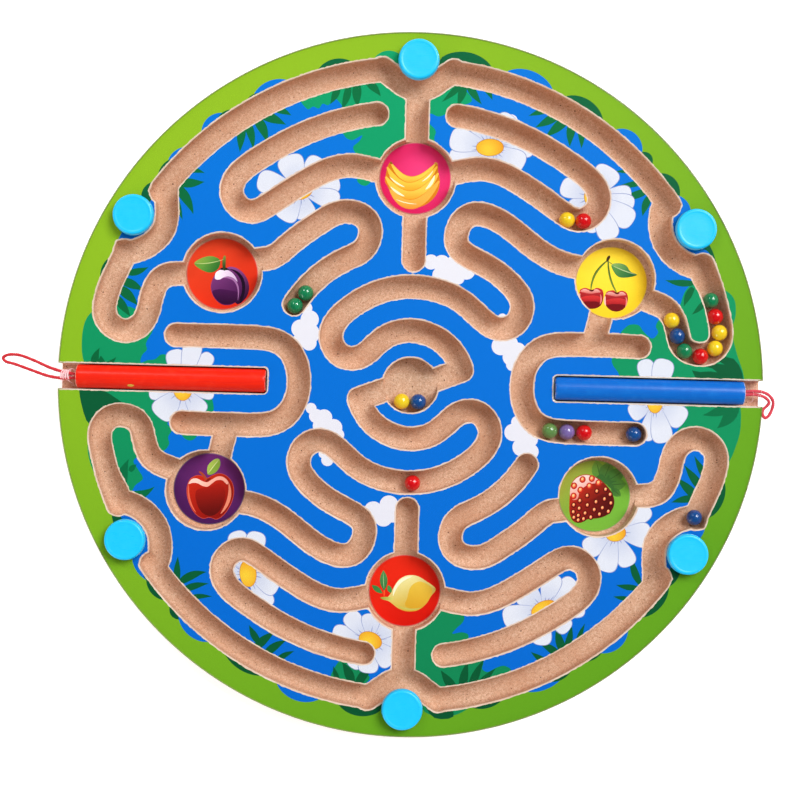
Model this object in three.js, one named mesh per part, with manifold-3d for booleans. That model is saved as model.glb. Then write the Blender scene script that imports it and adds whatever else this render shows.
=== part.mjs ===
// Round magnetic ball maze: a grooved fibreboard disc with a printed paper face,
// a clear cover held by six capped screws, small painted steel balls in the
// grooves, six picture discs in the pockets and two magnet pens on cords that
// lie in open slots at the rim.
//
// Millimetres, +Z up. The origin is the centre of the board's underside. +X runs
// along the blue pen's slot, +Y towards the banana pocket. Left and right are
// -X and +X. Apart from one longer limb and small shifts of the centre pocket,
// the groove layout repeats after half a turn about Z.
import * as THREE from 'three';
import { mergeVertices } from 'three/addons/utils/BufferGeometryUtils.js';
import Module from 'manifold-3d';

const wasm = await Module();
wasm.setup();

// ---------------------------------------------------------------- dimensions
const BOARD_R = 150;
const BOARD_T = 12;
const FLOOR_Z = 4; // groove and pocket floor height
const SHEET_R = BOARD_R - 0.7;
const SHEET_T = 0.25;
const SHEET_CLEAR = 0.4; // sheet cut-outs stand this far back from the board's edges
const COVER_R = BOARD_R - 0.4;
const COVER_T = 2;
const TOP_Z = BOARD_T + SHEET_T; // sheet top, cover underside
const COVER_Z = TOP_Z + COVER_T; // cover top

const GROOVE_HALF = 4.68; // half widths: grooves, outer ring, corner cuts
const RING_HALF = 4.8;
const CORNER_HALF = 3.2;
const POCKET_R = 16.8; // picture pocket
const CENTRE_POCKET_R = 11.7;
const CENTRE_POCKET_Y = -0.3;

const SLOT_HALF = 5.45; // half the pen slot width
const SLOT_FLOOR_Z = 5;
const SLOT_IN = 61; // inner end of the slot, from the centre
const SLOT_CORNER_R = 1.6;

const SCREW_RING_R = 137.7; // circle through the six screws
const SCREW_COUNT = 6;
const FIRST_SCREW_DEG = 30;
const SCREW_R = 1.5;
const PILOT_R = SCREW_R + 0.18;
const PILOT_Z = 2.6; // pilot bore bottom
const SCREW_HOLE_R = 2.4; // screw hole in the sheet and the cover

const BOARD_OVERCUT = 2; // cutters run this far past the board's top
const SHEET_OVERCUT = 1; // and past both faces of the sheet and the cover
const RIM_OVERCUT = 5; // slot cutters run this far past the rim

const BOARD_TOLERANCE = 0.24; // groove outline simplification
const SHEET_TOLERANCE = 0.55;

// ------------------------------------------------------------------ finishes
const FINISH = {
  board: { color: 0xc39a74, roughness: 0.9 },
  sheet: { color: 0x0f5fd0, roughness: 0.55 },
  cover: { color: 0xeef6fa, roughness: 0.05, transparent: true, opacity: 0.2 },
  disc: { roughness: 0.5 },
  screw: { color: 0xb9bcc0, roughness: 0.35, metalness: 0.9 },
  washer: { color: 0xe8eef0, roughness: 0.5 },
  cap: { color: 0x3fc4e6, roughness: 0.45 },
  ball: { roughness: 0.25, metalness: 0.1 },
  redPen: { color: 0xf23a1c, roughness: 0.35 },
  bluePen: { color: 0x1e6fd0, roughness: 0.35 },
  magnet: { color: 0x9a9da3, roughness: 0.3, metalness: 0.9 },
  cord: { color: 0xdb2530, roughness: 0.8 },
};

// ------------------------------------------------- groove centre lines (x, y)
const HOOK = [
  [-17.1, 114.9], [-24.1, 113.7], [-31.2, 111.9], [-38, 109.8], [-44.7, 107.2], [-51.2, 104.2],
  [-57.4, 100.8], [-63.9, 96.8], [-70.5, 92.3], [-74.5, 88.9], [-77, 85.6], [-78.2, 82],
  [-78, 78.6], [-76.5, 75.5], [-73.8, 73.1], [-70.6, 72], [-67.3, 72.4], [-63.3, 74.5],
  [-55.6, 79.8], [-48.7, 84.3], [-42.5, 88], [-37.1, 90.6], [-32.1, 92.1], [-27.4, 92.6],
  [-22.3, 92], [-15.1, 90.5], [-9.9, 90],
];
const LEFT_BYPASS = [
  [-106.6, 83.9], [-106.4, 79.5], [-105.6, 73.1], [-105.6, 68.2], [-106.3, 64.5],
  [-108.1, 61.1], [-110.9, 58.1], [-114.5, 55.6], [-118.7, 53.9], [-123.1, 52.9],
];
const LEFT_BEND = [
  [-123.1, 52.5], [-126.2, 45.4], [-128.9, 39.1], [-130.5, 33.7], [-131.1, 29.1],
  [-130.5, 25.5], [-128.7, 22.8], [-125.8, 20.7], [-122.4, 19.8], [-119.1, 20.3],
  [-116.1, 22.1], [-113.8, 25], [-112.3, 29], [-111, 35.2], [-109.5, 39.4],
  [-107.4, 42.4], [-104.5, 44.1], [-100.7, 44.7], [-94.5, 44.9],
];
const RIGHT_BYPASS = [
  [107.5, 82], [105.6, 78], [104.7, 73.7], [104.8, 69.3], [105.8, 65.1],
  [107.8, 61.3], [110.7, 58], [114.3, 55.4], [118.4, 53.6], [122.7, 52.8],
];
const RIGHT_BEND = [
  [122.4, 52.5], [123.7, 48.8], [126.7, 43.7], [128.6, 39.2], [130.6, 31.9], [131.6, 26.6],
  [131.5, 22.9], [130, 19.5], [127.3, 17.1], [123.7, 16.1], [120, 16.5], [116.6, 18],
  [114.3, 21], [112.9, 25.8], [111.6, 30], [109.5, 33.7], [106, 36.3], [101.5, 38], [95, 40.5],
];
const INNER_HOOK = [
  [-70.1, 50.9], [-64.1, 51.9], [-60.7, 52.6], [-57.3, 54.6], [-52.8, 58.7], [-48.1, 62.6],
  [-41.2, 67.5], [-36.3, 70.8], [-32.3, 72.5], [-28.4, 73], [-24.6, 72.4], [-21.5, 70.7],
  [-19.5, 68.2], [-18.7, 65], [-19.2, 61.3], [-20.8, 58], [-23.4, 55.5], [-28.5, 52.9],
  [-33.7, 50], [-38.4, 46.6], [-42.8, 42.6], [-46.8, 38], [-50.4, 32.9],
];
const SPIRAL = [
  [74.9, 51.2], [69.9, 51.9], [64.7, 52.9], [59.4, 54.9], [54.1, 57.8], [48.9, 61.5],
  [42.6, 66.4], [37.4, 69.9], [32.4, 72.3], [28.1, 73.4], [24.5, 73.2], [21.4, 71.5],
  [19.2, 68.5], [18, 64.6], [18.1, 61], [19.6, 58.1], [22.8, 55.6], [28.9, 52.5],
  [34.5, 49.4], [39.2, 45.9], [43.3, 41.9], [45.8, 38.2], [46.7, 34.6], [46.3, 31],
  [44.6, 27.8], [41.8, 25.6], [38.4, 24.7], [34.9, 25.3], [31.1, 27.6], [26.1, 31.9],
  [21.7, 35.5], [17, 38.2], [11.7, 40.1], [6, 41.3], [0.2, 41.7], [-5.7, 41.3],
  [-11.4, 40.1], [-16.8, 38.1], [-22, 35.4], [-27, 31.8], [-30.9, 28.1], [-33.3, 24.5],
  [-34.4, 20.8], [-34, 17.2], [-32.3, 13.9], [-29.6, 11.5], [-26.2, 10.6], [-22.6, 11],
  [-19.2, 12.9], [-14.7, 17.1], [-10.8, 20.2], [-6.6, 22.1], [-2, 23], [2.8, 22.8],
  [7.6, 21.5], [12.1, 19.3], [15.9, 16.3], [18.9, 12.6], [20.9, 9], [21.7, 6.6],
];
const BRACKET = [
  [97, 18.6], [85.8, 18.9], [75.8, 18.9], [66.7, 18.9], [60.2, 18.3], [56, 16.9],
  [52.5, 14.3], [49.8, 10.5], [48.1, 5.9], [47.5, 1], [47.9, -4.3], [49.4, -9.2],
  [51.7, -13.1], [54.9, -15.8], [59.1, -17.5], [64.9, -18.3], [73.9, -18.5],
  [82.9, -18.6], [91.1, -18.6], [96.2, -18.6],
];
const TOP_JUNCTION = [
  [-15.3, 134.2], [-10, 130.4], [-5, 127], [0, 125.6], [5, 127], [10, 130.4], [15.1, 134],
];
const RING_LEFT = arcPoints(134.6, 96.5, 141.8);
const RING_RIGHT = arcPoints(134.1, 37.3, 83.6);

// Short cuts that square the grooves' corners on both sides of each side screw.
const CORNER_CUTS = [
  [[122.7, 52.8], [124.1, 55.2]],
  [[108.6, 82.4], [110, 81.5]],
].flatMap((cut) => [cut, mirrorX(cut)]);

// Every groove is cut as listed and, unless `once`, again turned half a turn.
const GROOVES = [
  { points: HOOK },
  { points: mirrorX(HOOK) },
  { points: RING_LEFT, half: RING_HALF },
  { points: RING_RIGHT, half: RING_HALF },
  { points: TOP_JUNCTION, half: RING_HALF },
  { points: LEFT_BYPASS },
  { points: LEFT_BEND },
  ...CORNER_CUTS.map((points) => ({ points, half: CORNER_HALF, straight: true })),
  // the upper limb of the left bracket runs on further
  { points: [[-92, 18.6], [-100.2, 18.6]], straight: true, once: true },
  { points: RIGHT_BYPASS },
  { points: RIGHT_BEND },
  { points: INNER_HOOK },
  { points: SPIRAL },
  { points: BRACKET },
  { points: [[77.7, 20], [80.9, 34]], straight: true }, // bracket to cherry pocket
  { points: [[0, 125], [0, 100]], straight: true }, // ring to banana pocket
  { points: [[0, 76], [0, 53]], straight: true }, // blind spoke inward of that pocket
  { points: [[21.7, 6.6], [7.5, 1.2]], straight: true }, // spiral to centre pocket
];

// picture pocket centres (x, y)
const POCKET_CENTRES = [
  [0, 88], // banana
  [0, -88], // lemon
  [-81.4, 45.7], // plum
  [81.4, -45.7], // strawberry
  [86, 47.2], // cherry
  [-86, -47.2], // apple
];

// ------------------------------------------------------------ plan geometry
function arcPoints(radius, startDeg, endDeg) {
  const steps = 12;
  return Array.from({ length: steps + 1 }, (_, i) => {
    const angle = THREE.MathUtils.degToRad(startDeg + ((endDeg - startDeg) * i) / steps);
    return [radius * Math.cos(angle), radius * Math.sin(angle)];
  });
}

function halfTurn(points) {
  return points.map(([x, y]) => [-x, -y]);
}

function mirrorX(points) {
  return points.map(([x, y]) => [-x, y]);
}

// Drops points of an open polyline that lie within tolerance of the straight
// line between the points kept.
function simplify(points, tolerance) {
  const last = points.length - 1;
  const kept = new Set([0, last]);
  const spans = [[0, last]];
  while (spans.length) {
    const [start, end] = spans.pop();
    const chord = new THREE.Vector2().subVectors(points[end], points[start]);
    const length = chord.length() || 1e-9;
    let worst = 0;
    let worstIndex = -1;
    for (let i = start + 1; i < end; i++) {
      const arm = new THREE.Vector2().subVectors(points[i], points[start]);
      const distance = Math.abs(chord.x * arm.y - chord.y * arm.x) / length;
      if (distance > worst) {
        worst = distance;
        worstIndex = i;
      }
    }
    if (worst > tolerance) {
      kept.add(worstIndex);
      spans.push([start, worstIndex], [worstIndex, end]);
    }
  }
  return points.filter((_, i) => kept.has(i));
}

function smoothLine(points) {
  const samplesPerSpan = 12;
  const curve = new THREE.CatmullRomCurve3(
    points.map(([x, y]) => new THREE.Vector3(x, y, 0)), false, 'centripetal');
  return curve.getPoints((points.length - 1) * samplesPerSpan)
    .map(({ x, y }) => new THREE.Vector2(x, y));
}

// The inner points of a clockwise half circle that starts at `from`.
function endCap(centre, from, radius) {
  const steps = 6;
  const start = Math.atan2(from.y - centre.y, from.x - centre.x);
  const points = [];
  for (let i = 1; i < steps; i++) {
    const angle = start - (Math.PI * i) / steps;
    points.push(new THREE.Vector2(
      centre.x + radius * Math.cos(angle), centre.y + radius * Math.sin(angle)));
  }
  return points;
}

// A round-ended band of the given half width along a line through the points.
function bandShape(points, half, tolerance, straight) {
  const line = straight ? points.map(([x, y]) => new THREE.Vector2(x, y)) : smoothLine(points);
  const last = line.length - 1;
  // sign +1 is the left of the direction of travel, -1 the right
  const edge = (sign) => simplify(line.map(({ x, y }, i) => {
    const along = new THREE.Vector2()
      .subVectors(line[Math.min(i + 1, last)], line[Math.max(i - 1, 0)])
      .normalize();
    return new THREE.Vector2(x - sign * along.y * half, y + sign * along.x * half);
  }), tolerance);
  const left = edge(1);
  const right = edge(-1).reverse();
  return new THREE.Shape([
    ...left,
    ...endCap(line[last], left[left.length - 1], half),
    ...right,
    ...endCap(line[0], right[right.length - 1], half),
  ]);
}

function circleShape(x, y, radius, segments) {
  const points = [];
  for (let i = 0; i < segments; i++) {
    const angle = (2 * Math.PI * i) / segments;
    points.push(new THREE.Vector2(x + radius * Math.cos(angle), y + radius * Math.sin(angle)));
  }
  return new THREE.Shape(points);
}

// One pen slot, on +X (side 1) or -X (side -1): open at the rim, rounded
// corners at the inner end.
function slotShape(side, half, inner) {
  const steps = 3;
  const outer = BOARD_R + RIM_OVERCUT;
  const outline = [[outer, -half], [outer, half]];
  for (const [sign, start] of [[1, Math.PI / 2], [-1, Math.PI]]) {
    for (let i = 0; i <= steps; i++) {
      const angle = start + (Math.PI / 2) * (i / steps);
      outline.push([
        inner + SLOT_CORNER_R + SLOT_CORNER_R * Math.cos(angle),
        sign * (half - SLOT_CORNER_R) + SLOT_CORNER_R * Math.sin(angle),
      ]);
    }
  }
  return new THREE.Shape(outline.map(([x, y]) => new THREE.Vector2(side * x, side * y)));
}

// -------------------------------------------------------------------- solids
// A straight prism of a shape between two heights, as a Manifold solid.
function prism(shape, bottom, top) {
  const extruded = new THREE.ExtrudeGeometry(shape, {
    depth: top - bottom, bevelEnabled: false, curveSegments: 1,
  }).translate(0, 0, bottom);
  // positions alone, so that corners shared between faces merge
  const bare = new THREE.BufferGeometry().setAttribute('position', extruded.attributes.position);
  const merged = mergeVertices(bare, 1e-4);
  return new wasm.Manifold(new wasm.Mesh({
    numProp: 3,
    vertProperties: new Float32Array(merged.attributes.position.array),
    triVerts: new Uint32Array(merged.index.array),
  }));
}

function geometryOf(solid) {
  const { vertProperties, triVerts } = solid.getMesh();
  const geometry = new THREE.BufferGeometry();
  geometry.setAttribute('position',
    new THREE.BufferAttribute(new Float32Array(vertProperties), 3));
  geometry.setIndex(new THREE.BufferAttribute(new Uint32Array(triVerts), 1));
  geometry.computeVertexNormals();
  return geometry;
}

// All grooves and pockets, widened by `grow` on every side.
function grooveCutters(bottom, top, grow, tolerance) {
  let cutters = prism(
    circleShape(0, CENTRE_POCKET_Y, CENTRE_POCKET_R + grow, 24), bottom, top);
  for (const [x, y] of POCKET_CENTRES) {
    cutters = cutters.add(prism(circleShape(x, y, POCKET_R + grow, 32), bottom, top));
  }
  for (const { points, half = GROOVE_HALF, straight = false, once = false } of GROOVES) {
    for (const line of once ? [points] : [points, halfTurn(points)]) {
      const band = bandShape(line, half + grow, tolerance, straight);
      cutters = cutters.add(prism(band, bottom, top));
    }
  }
  return cutters;
}

function cutSlots(solid, grow, bottom, top) {
  for (const side of [1, -1]) {
    const slot = slotShape(side, SLOT_HALF + grow, SLOT_IN - grow);
    solid = solid.subtract(prism(slot, bottom, top));
  }
  return solid;
}

const screwCentres = Array.from({ length: SCREW_COUNT }, (_, i) => {
  const angle = THREE.MathUtils.degToRad(FIRST_SCREW_DEG + (360 / SCREW_COUNT) * i);
  return [SCREW_RING_R * Math.cos(angle), SCREW_RING_R * Math.sin(angle)];
});

function drillScrewHoles(solid, radius, segments, bottom, top) {
  for (const [x, y] of screwCentres) {
    solid = solid.subtract(prism(circleShape(x, y, radius, segments), bottom, top));
  }
  return solid;
}

// Turned parts; a profile's columns are radius and position along the axis.
function turned(profile, segments) {
  return new THREE.LatheGeometry(profile.map(([r, a]) => new THREE.Vector2(r, a)), segments);
}

function turnedUp(profile, segments) {
  return turned(profile, segments).rotateX(Math.PI / 2); // axis along +Z
}

function turnedAlongX(profile, segments) {
  return turned(profile, segments).rotateZ(-Math.PI / 2); // axis along +X
}

const root = new THREE.Group();

function put(name, geometry, finish, parent = root) {
  const mesh = new THREE.Mesh(geometry, new THREE.MeshStandardMaterial(finish));
  mesh.name = name;
  parent.add(mesh);
  return mesh;
}

// ------------------------------------------------- board, sheet, clear cover
function addBoard() {
  const cutTop = BOARD_T + BOARD_OVERCUT;
  let board = prism(circleShape(0, 0, BOARD_R, 96), 0, BOARD_T);
  board = board.subtract(grooveCutters(FLOOR_Z, cutTop, 0, BOARD_TOLERANCE));
  board = cutSlots(board, 0, SLOT_FLOOR_Z, cutTop);
  board = drillScrewHoles(board, PILOT_R, 12, PILOT_Z, cutTop);
  put('maze_board', geometryOf(board), FINISH.board);
}

function addSheet() {
  const cutBottom = BOARD_T - SHEET_OVERCUT;
  const cutTop = TOP_Z + SHEET_OVERCUT;
  let sheet = prism(circleShape(0, 0, SHEET_R, 72), BOARD_T, TOP_Z);
  sheet = sheet.subtract(grooveCutters(cutBottom, cutTop, SHEET_CLEAR, SHEET_TOLERANCE));
  sheet = cutSlots(sheet, SHEET_CLEAR, cutBottom, cutTop);
  sheet = drillScrewHoles(sheet, SCREW_HOLE_R, 10, cutBottom, cutTop);
  put('printed_face_sheet', geometryOf(sheet), FINISH.sheet);
}

function addCover() {
  const cutBottom = TOP_Z - SHEET_OVERCUT;
  const cutTop = COVER_Z + SHEET_OVERCUT;
  let cover = prism(circleShape(0, 0, COVER_R, 72), TOP_Z, COVER_Z);
  cover = cutSlots(cover, 0, cutBottom, cutTop);
  cover = drillScrewHoles(cover, SCREW_HOLE_R, 12, cutBottom, cutTop);
  put('clear_cover', geometryOf(cover), FINISH.cover);
}

// ------------------------------------------------------------- picture discs
const DISC_R = 15.4;
const DISC_T = 0.4;
// name, centre x, centre y, colour; the discs lie slightly off their pockets' centres
const DISCS = [
  ['banana', -0.2, 89, 0xd21a6c],
  ['lemon', -0.1, -88.8, 0xd8261c],
  ['plum', -82.3, 45.7, 0xe4391f],
  ['apple', -85.5, -47.1, 0x4a1758],
  ['cherry', 85.6, 46.3, 0xf2e21a],
  ['strawberry', 80.6, -45.8, 0x7fae2a],
];

function addDiscs() {
  for (const [name, x, y, color] of DISCS) {
    const geometry = new THREE.CylinderGeometry(DISC_R, DISC_R, DISC_T, 28).rotateX(Math.PI / 2);
    const disc = put('disc_' + name, geometry, { ...FINISH.disc, color });
    disc.position.set(x, y, FLOOR_Z + DISC_T / 2);
  }
}

// ------------------------------------------- screws, base washers, snap caps
const WASHER_R = 7.2;
const WASHER_T = 0.8;
const WASHER_TOP_Z = COVER_Z + WASHER_T;
const WASHER_BORE_R = SCREW_HOLE_R - 0.3;
const SCREW_TIP_Z = PILOT_Z + 0.6;
const SCREW_POINT_L = 2.6; // length of the conical point
const SCREW_HEAD_R = 3.7;
const SCREW_HEAD_T = 1.2;
const SCREW_HEAD_EDGE = 0.5; // height of the head's straight side
const SCREW_HEAD_TOP_R = SCREW_HEAD_R * 0.72;
const CAP_R = 8.7;
const CAP_TOP_Z = COVER_Z + 3.1;
const CAP_ROOF = 0.85; // thickness of the cap's top
const CAP_BORE_R = CAP_R - 1.1; // inside the side wall

function screwGeometry() {
  return turnedUp([
    [0, SCREW_TIP_Z],
    [SCREW_R, SCREW_TIP_Z + SCREW_POINT_L],
    [SCREW_R, WASHER_TOP_Z],
    [SCREW_HEAD_R, WASHER_TOP_Z],
    [SCREW_HEAD_R, WASHER_TOP_Z + SCREW_HEAD_EDGE],
    [SCREW_HEAD_TOP_R, WASHER_TOP_Z + SCREW_HEAD_T],
    [0, WASHER_TOP_Z + SCREW_HEAD_T],
  ], 12);
}

function washerGeometry() {
  return turnedUp([
    [WASHER_BORE_R, COVER_Z],
    [WASHER_R, COVER_Z],
    [WASHER_R, WASHER_TOP_Z],
    [WASHER_BORE_R, WASHER_TOP_Z],
    [WASHER_BORE_R, COVER_Z],
  ], 12);
}

// Hollow from below; the outside rounds over from the rim to the top.
function capGeometry() {
  return turnedUp([
    [0, CAP_TOP_Z - CAP_ROOF],
    [CAP_BORE_R, CAP_TOP_Z - CAP_ROOF],
    [CAP_BORE_R, COVER_Z],
    [CAP_R - 0.15, COVER_Z],
    [CAP_R, COVER_Z + 0.5],
    [CAP_R - 0.1, COVER_Z + 1.9],
    [CAP_R - 0.55, CAP_TOP_Z - 0.55],
    [CAP_R - 1.5, CAP_TOP_Z - 0.15],
    [0, CAP_TOP_Z],
  ], 18);
}

function addFasteners() {
  screwCentres.forEach(([x, y], i) => {
    const number = i + 1;
    put('cap_screw_' + number, screwGeometry(), FINISH.screw).position.set(x, y, 0);
    put('cap_washer_' + number, washerGeometry(), FINISH.washer).position.set(x, y, 0);
    put('snap_cap_' + number, capGeometry(), FINISH.cap).position.set(x, y, 0);
  });
}

// --------------------------------------------------------------- steel balls
const BALL_R = 3.45;
const BALL_GAP = 0.1; // clearance over the groove floor
const PAINTS = {
  yellow: 0xf0c21c, red: 0xd61f26, green: 0x12713f, blue: 0x1f3f8c, violet: 0x5b4a8e,
};
// paint, centre x, centre y; numbered from 01 in this order
const BALLS = [
  ['yellow', 65.3, 72.4], ['red', 72.4, 72.1], ['green', -45.95, 38.15],
  ['green', -50.35, 32.55], ['green', 127.85, 39.45], ['red', 130, 32.6],
  ['yellow', 132, 25.75], ['yellow', 130.15, 18.95], ['red', 124, 15.4],
  ['green', 117.15, 17.45], ['blue', 113.9, 23.8], ['yellow', 111.35, 30.5],
  ['yellow', -3.55, -7.25], ['blue', 3.55, -7.25], ['green', 60.2, -18.2],
  ['violet', 67.6, -18.5], ['red', 75, -18.6], ['blue', 96.3, -18.7],
  ['red', 2, -42.1], ['blue', 123.2, -53.8],
];

function addBalls() {
  BALLS.forEach(([paint, x, y], i) => {
    const name = `ball_${String(i + 1).padStart(2, '0')}_${paint}`;
    const finish = { ...FINISH.ball, color: PAINTS[paint] };
    const ball = put(name, new THREE.IcosahedronGeometry(BALL_R, 1), finish);
    ball.position.set(x, y, FLOOR_Z + BALL_GAP + BALL_R);
  });
}

// -------------------------------------------------------- magnet pens, cords
// A pen lies along its group's +X, tip towards the centre of the board.
const PEN_R = 5;
const PEN_IN = SLOT_IN + 0.6; // tip, from the centre
const PEN_OUT = 142.2; // tail, from the centre
const PEN_Z = SLOT_FLOOR_Z + PEN_R + 0.1; // axis height, just clear of the slot floor
const TIP_CHAMFER = 0.7;
const TAIL_CHAMFER = 0.49;
const MAGNET_R = 3;
const MAGNET_END = PEN_IN + 5; // inner face of the magnet
const MAGNET_RECESS = 0.3; // magnet face behind the pen tip
const MAGNET_CHAMFER = 0.3;
const SOCKET_R = MAGNET_R + 0.15; // magnet socket in the tip
const SOCKET_END = MAGNET_END + 0.2;
const CORD_R = 0.62;
const CORD_BORE_R = 2.1; // bore in the tail for the cord
const CORD_BORE_L = 8;

// Cord loops: x beyond the pen's tail, y and z from its axis, in the pen's group.
// Both strands start at the bore in the tail.
const RED_CORD = [
  [0.25, 0.75, 0], [6, 1.1, 0.2], [12, 0.4, 0.8], [20, -2.2, 1.6], [26.5, -4.4, 2.2],
  [30.4, -5.5, 2.4], [31.3, -6.9, 2.5], [29.6, -8.1, 2.5], [25, -8.3, 2.3],
  [18.5, -6.2, 1.8], [11.5, -3.2, 1], [6, -1.6, 0.3], [0.25, -0.75, 0],
];
const BLUE_CORD = [
  [0.25, 0.75, 0], [4, 0.75, -0.1], [8, 0.5, -0.5], [11.5, -1.2, -1.4], [13.4, -4, -2.4],
  [13.2, -7.2, -3.2], [11.6, -10, -3.8], [9.9, -10.9, -4], [8.4, -9.6, -3.8],
  [8.3, -6.9, -3.2], [9.9, -5, -2.5], [10.2, -3.2, -1.8], [8.6, -1.5, -1.2],
  [4.5, -0.85, -0.4], [0.25, -0.75, 0],
];

function barrelGeometry() {
  return turnedAlongX([
    [0, SOCKET_END],
    [SOCKET_R, SOCKET_END],
    [SOCKET_R, PEN_IN],
    [PEN_R - TIP_CHAMFER, PEN_IN],
    [PEN_R, PEN_IN + TIP_CHAMFER],
    [PEN_R, PEN_OUT - TAIL_CHAMFER],
    [PEN_R - TAIL_CHAMFER, PEN_OUT],
    [CORD_BORE_R, PEN_OUT],
    [CORD_BORE_R, PEN_OUT - CORD_BORE_L],
    [0, PEN_OUT - CORD_BORE_L],
  ], 20);
}

function magnetGeometry() {
  const face = PEN_IN + MAGNET_RECESS;
  return turnedAlongX([
    [0, face],
    [MAGNET_R - MAGNET_CHAMFER, face],
    [MAGNET_R, face + MAGNET_CHAMFER],
    [MAGNET_R, MAGNET_END],
    [0, MAGNET_END],
  ], 16);
}

function cordGeometry(points) {
  const path = new THREE.CatmullRomCurve3(
    points.map(([x, y, z]) => new THREE.Vector3(PEN_OUT + x, y, z)), false, 'centripetal');
  return new THREE.ExtrudeGeometry(circleShape(0, 0, CORD_R, 6), {
    steps: 30, bevelEnabled: false, extrudePath: path,
  });
}

function addPen({ name, finish, turn, cord }) {
  const group = new THREE.Group();
  group.position.set(0, 0, PEN_Z);
  group.rotation.z = turn;
  root.add(group);
  put(`pen_${name}_barrel`, barrelGeometry(), finish, group);
  put(`pen_${name}_magnet`, magnetGeometry(), FINISH.magnet, group);
  put(`pen_${name}_cord`, cordGeometry(cord), FINISH.cord, group);
}

// ------------------------------------------------------------------ assembly
addBoard();
addSheet();
addCover();
addDiscs();
addFasteners();
addBalls();
addPen({ name: 'red', finish: FINISH.redPen, turn: Math.PI, cord: RED_CORD });
addPen({ name: 'blue', finish: FINISH.bluePen, turn: 0, cord: BLUE_CORD });

export default root;
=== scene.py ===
# Round magnetic ball maze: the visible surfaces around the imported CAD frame.
# Lengths in this file are millimetres in the part's own frame; every mesh is
# written in metres. The groove layout repeats after half a turn about Z.
import math
import bpy
import bmesh
import numpy as np
from mathutils import Vector, Matrix
from mathutils.geometry import delaunay_2d_cdt


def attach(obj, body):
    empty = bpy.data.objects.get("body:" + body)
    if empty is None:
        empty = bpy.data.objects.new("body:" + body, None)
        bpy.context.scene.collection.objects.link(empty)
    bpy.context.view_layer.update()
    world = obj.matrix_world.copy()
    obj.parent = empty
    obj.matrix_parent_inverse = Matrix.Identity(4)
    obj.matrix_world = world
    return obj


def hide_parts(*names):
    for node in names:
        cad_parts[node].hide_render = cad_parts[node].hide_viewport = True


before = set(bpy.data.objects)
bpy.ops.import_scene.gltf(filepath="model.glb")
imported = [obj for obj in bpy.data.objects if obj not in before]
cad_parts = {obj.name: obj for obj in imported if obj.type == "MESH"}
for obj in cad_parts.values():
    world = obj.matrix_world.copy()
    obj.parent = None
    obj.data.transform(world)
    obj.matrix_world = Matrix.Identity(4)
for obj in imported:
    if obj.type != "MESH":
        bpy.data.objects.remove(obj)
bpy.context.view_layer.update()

MM = 0.001

# ---------------------------------------------------------------- dimensions
BOARD_R, BOARD_T, FLOOR_Z, SLOT_Z = 150.0, 12.0, 4.0, 5.0
GROOVE_HALF, RING_HALF, POCKET_R, CENTRE_R = 4.68, 4.8, 16.8, 11.7
SHEET_R, TOP_Z, COVER_Z, COVER_R = 149.8, 12.25, 14.25, 149.8
SLOT_HALF, SLOT_IN = 5.45, 61.0
DISC_R, BALL_R, BALL_Z = 15.4, 3.45, 7.55
PEN_R, PEN_IN, PEN_OUT, PEN_Z = 5.0, 61.6, 142.2, 10.1
COVE_R = 3.8  # radius of the rounded corner along the groove's floor

# ------------------------------------------------- groove centre lines (x, y)
hook = [[-17.1,114.9],[-24.1,113.7],[-31.2,111.9],[-38,109.8],[-44.7,107.2],[-51.2,104.2],[-57.4,100.8],[-63.9,96.8],[-70.5,92.3],[-74.5,88.9],[-77,85.6],[-78.2,82],[-78,78.6],[-76.5,75.5],[-73.8,73.1],[-70.6,72],[-67.3,72.4],[-63.3,74.5],[-55.6,79.8],[-48.7,84.3],[-42.5,88],[-37.1,90.6],[-32.1,92.1],[-27.4,92.6],[-22.3,92],[-15.1,90.5],[-9.9,90]]
left_bypass = [[-105.9,81.3],[-106.0,78.6],[-105.6,73.1],[-105.6,68.2],[-106.3,64.5],[-108.1,61.1],[-110.9,58.1],[-114.5,55.6],[-118.7,53.9],[-123.1,52.9]]
left_bend = [[-123.1,52.5],[-126.2,45.4],[-128.9,39.1],[-130.5,33.7],[-131.1,29.1],[-130.5,25.5],[-128.7,22.8],[-125.8,20.7],[-122.4,19.8],[-119.1,20.3],[-116.1,22.1],[-113.8,25],[-112.3,29],[-111,35.2],[-109.5,39.4],[-107.4,42.4],[-104.5,44.1],[-100.7,44.7],[-94.5,44.9]]
right_bypass = [[106.5,80.4],[105.4,77.4],[104.7,73.7],[104.8,69.3],[105.8,65.1],[107.8,61.3],[110.7,58],[114.3,55.4],[118.4,53.6],[122.7,52.8]]
right_bend = [[122.4,52.5],[123.7,48.8],[126.7,43.7],[128.6,39.2],[130.6,31.9],[131.6,26.6],[131.5,22.9],[130,19.5],[127.3,17.1],[123.7,16.1],[120,16.5],[116.6,18],[114.3,21],[112.9,25.8],[111.6,30],[109.5,33.7],[106,36.3],[101.5,38],[95,40.5]]
inner_hook = [[-70.1,50.9],[-64.1,51.9],[-60.7,52.6],[-57.3,54.6],[-52.8,58.7],[-48.1,62.6],[-41.2,67.5],[-36.3,70.8],[-32.3,72.5],[-28.4,73],[-24.6,72.4],[-21.5,70.7],[-19.5,68.2],[-18.7,65],[-19.2,61.3],[-20.8,58],[-23.4,55.5],[-28.5,52.9],[-33.7,50],[-38.4,46.6],[-42.8,42.6],[-46.8,38],[-50.4,32.9]]
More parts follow.
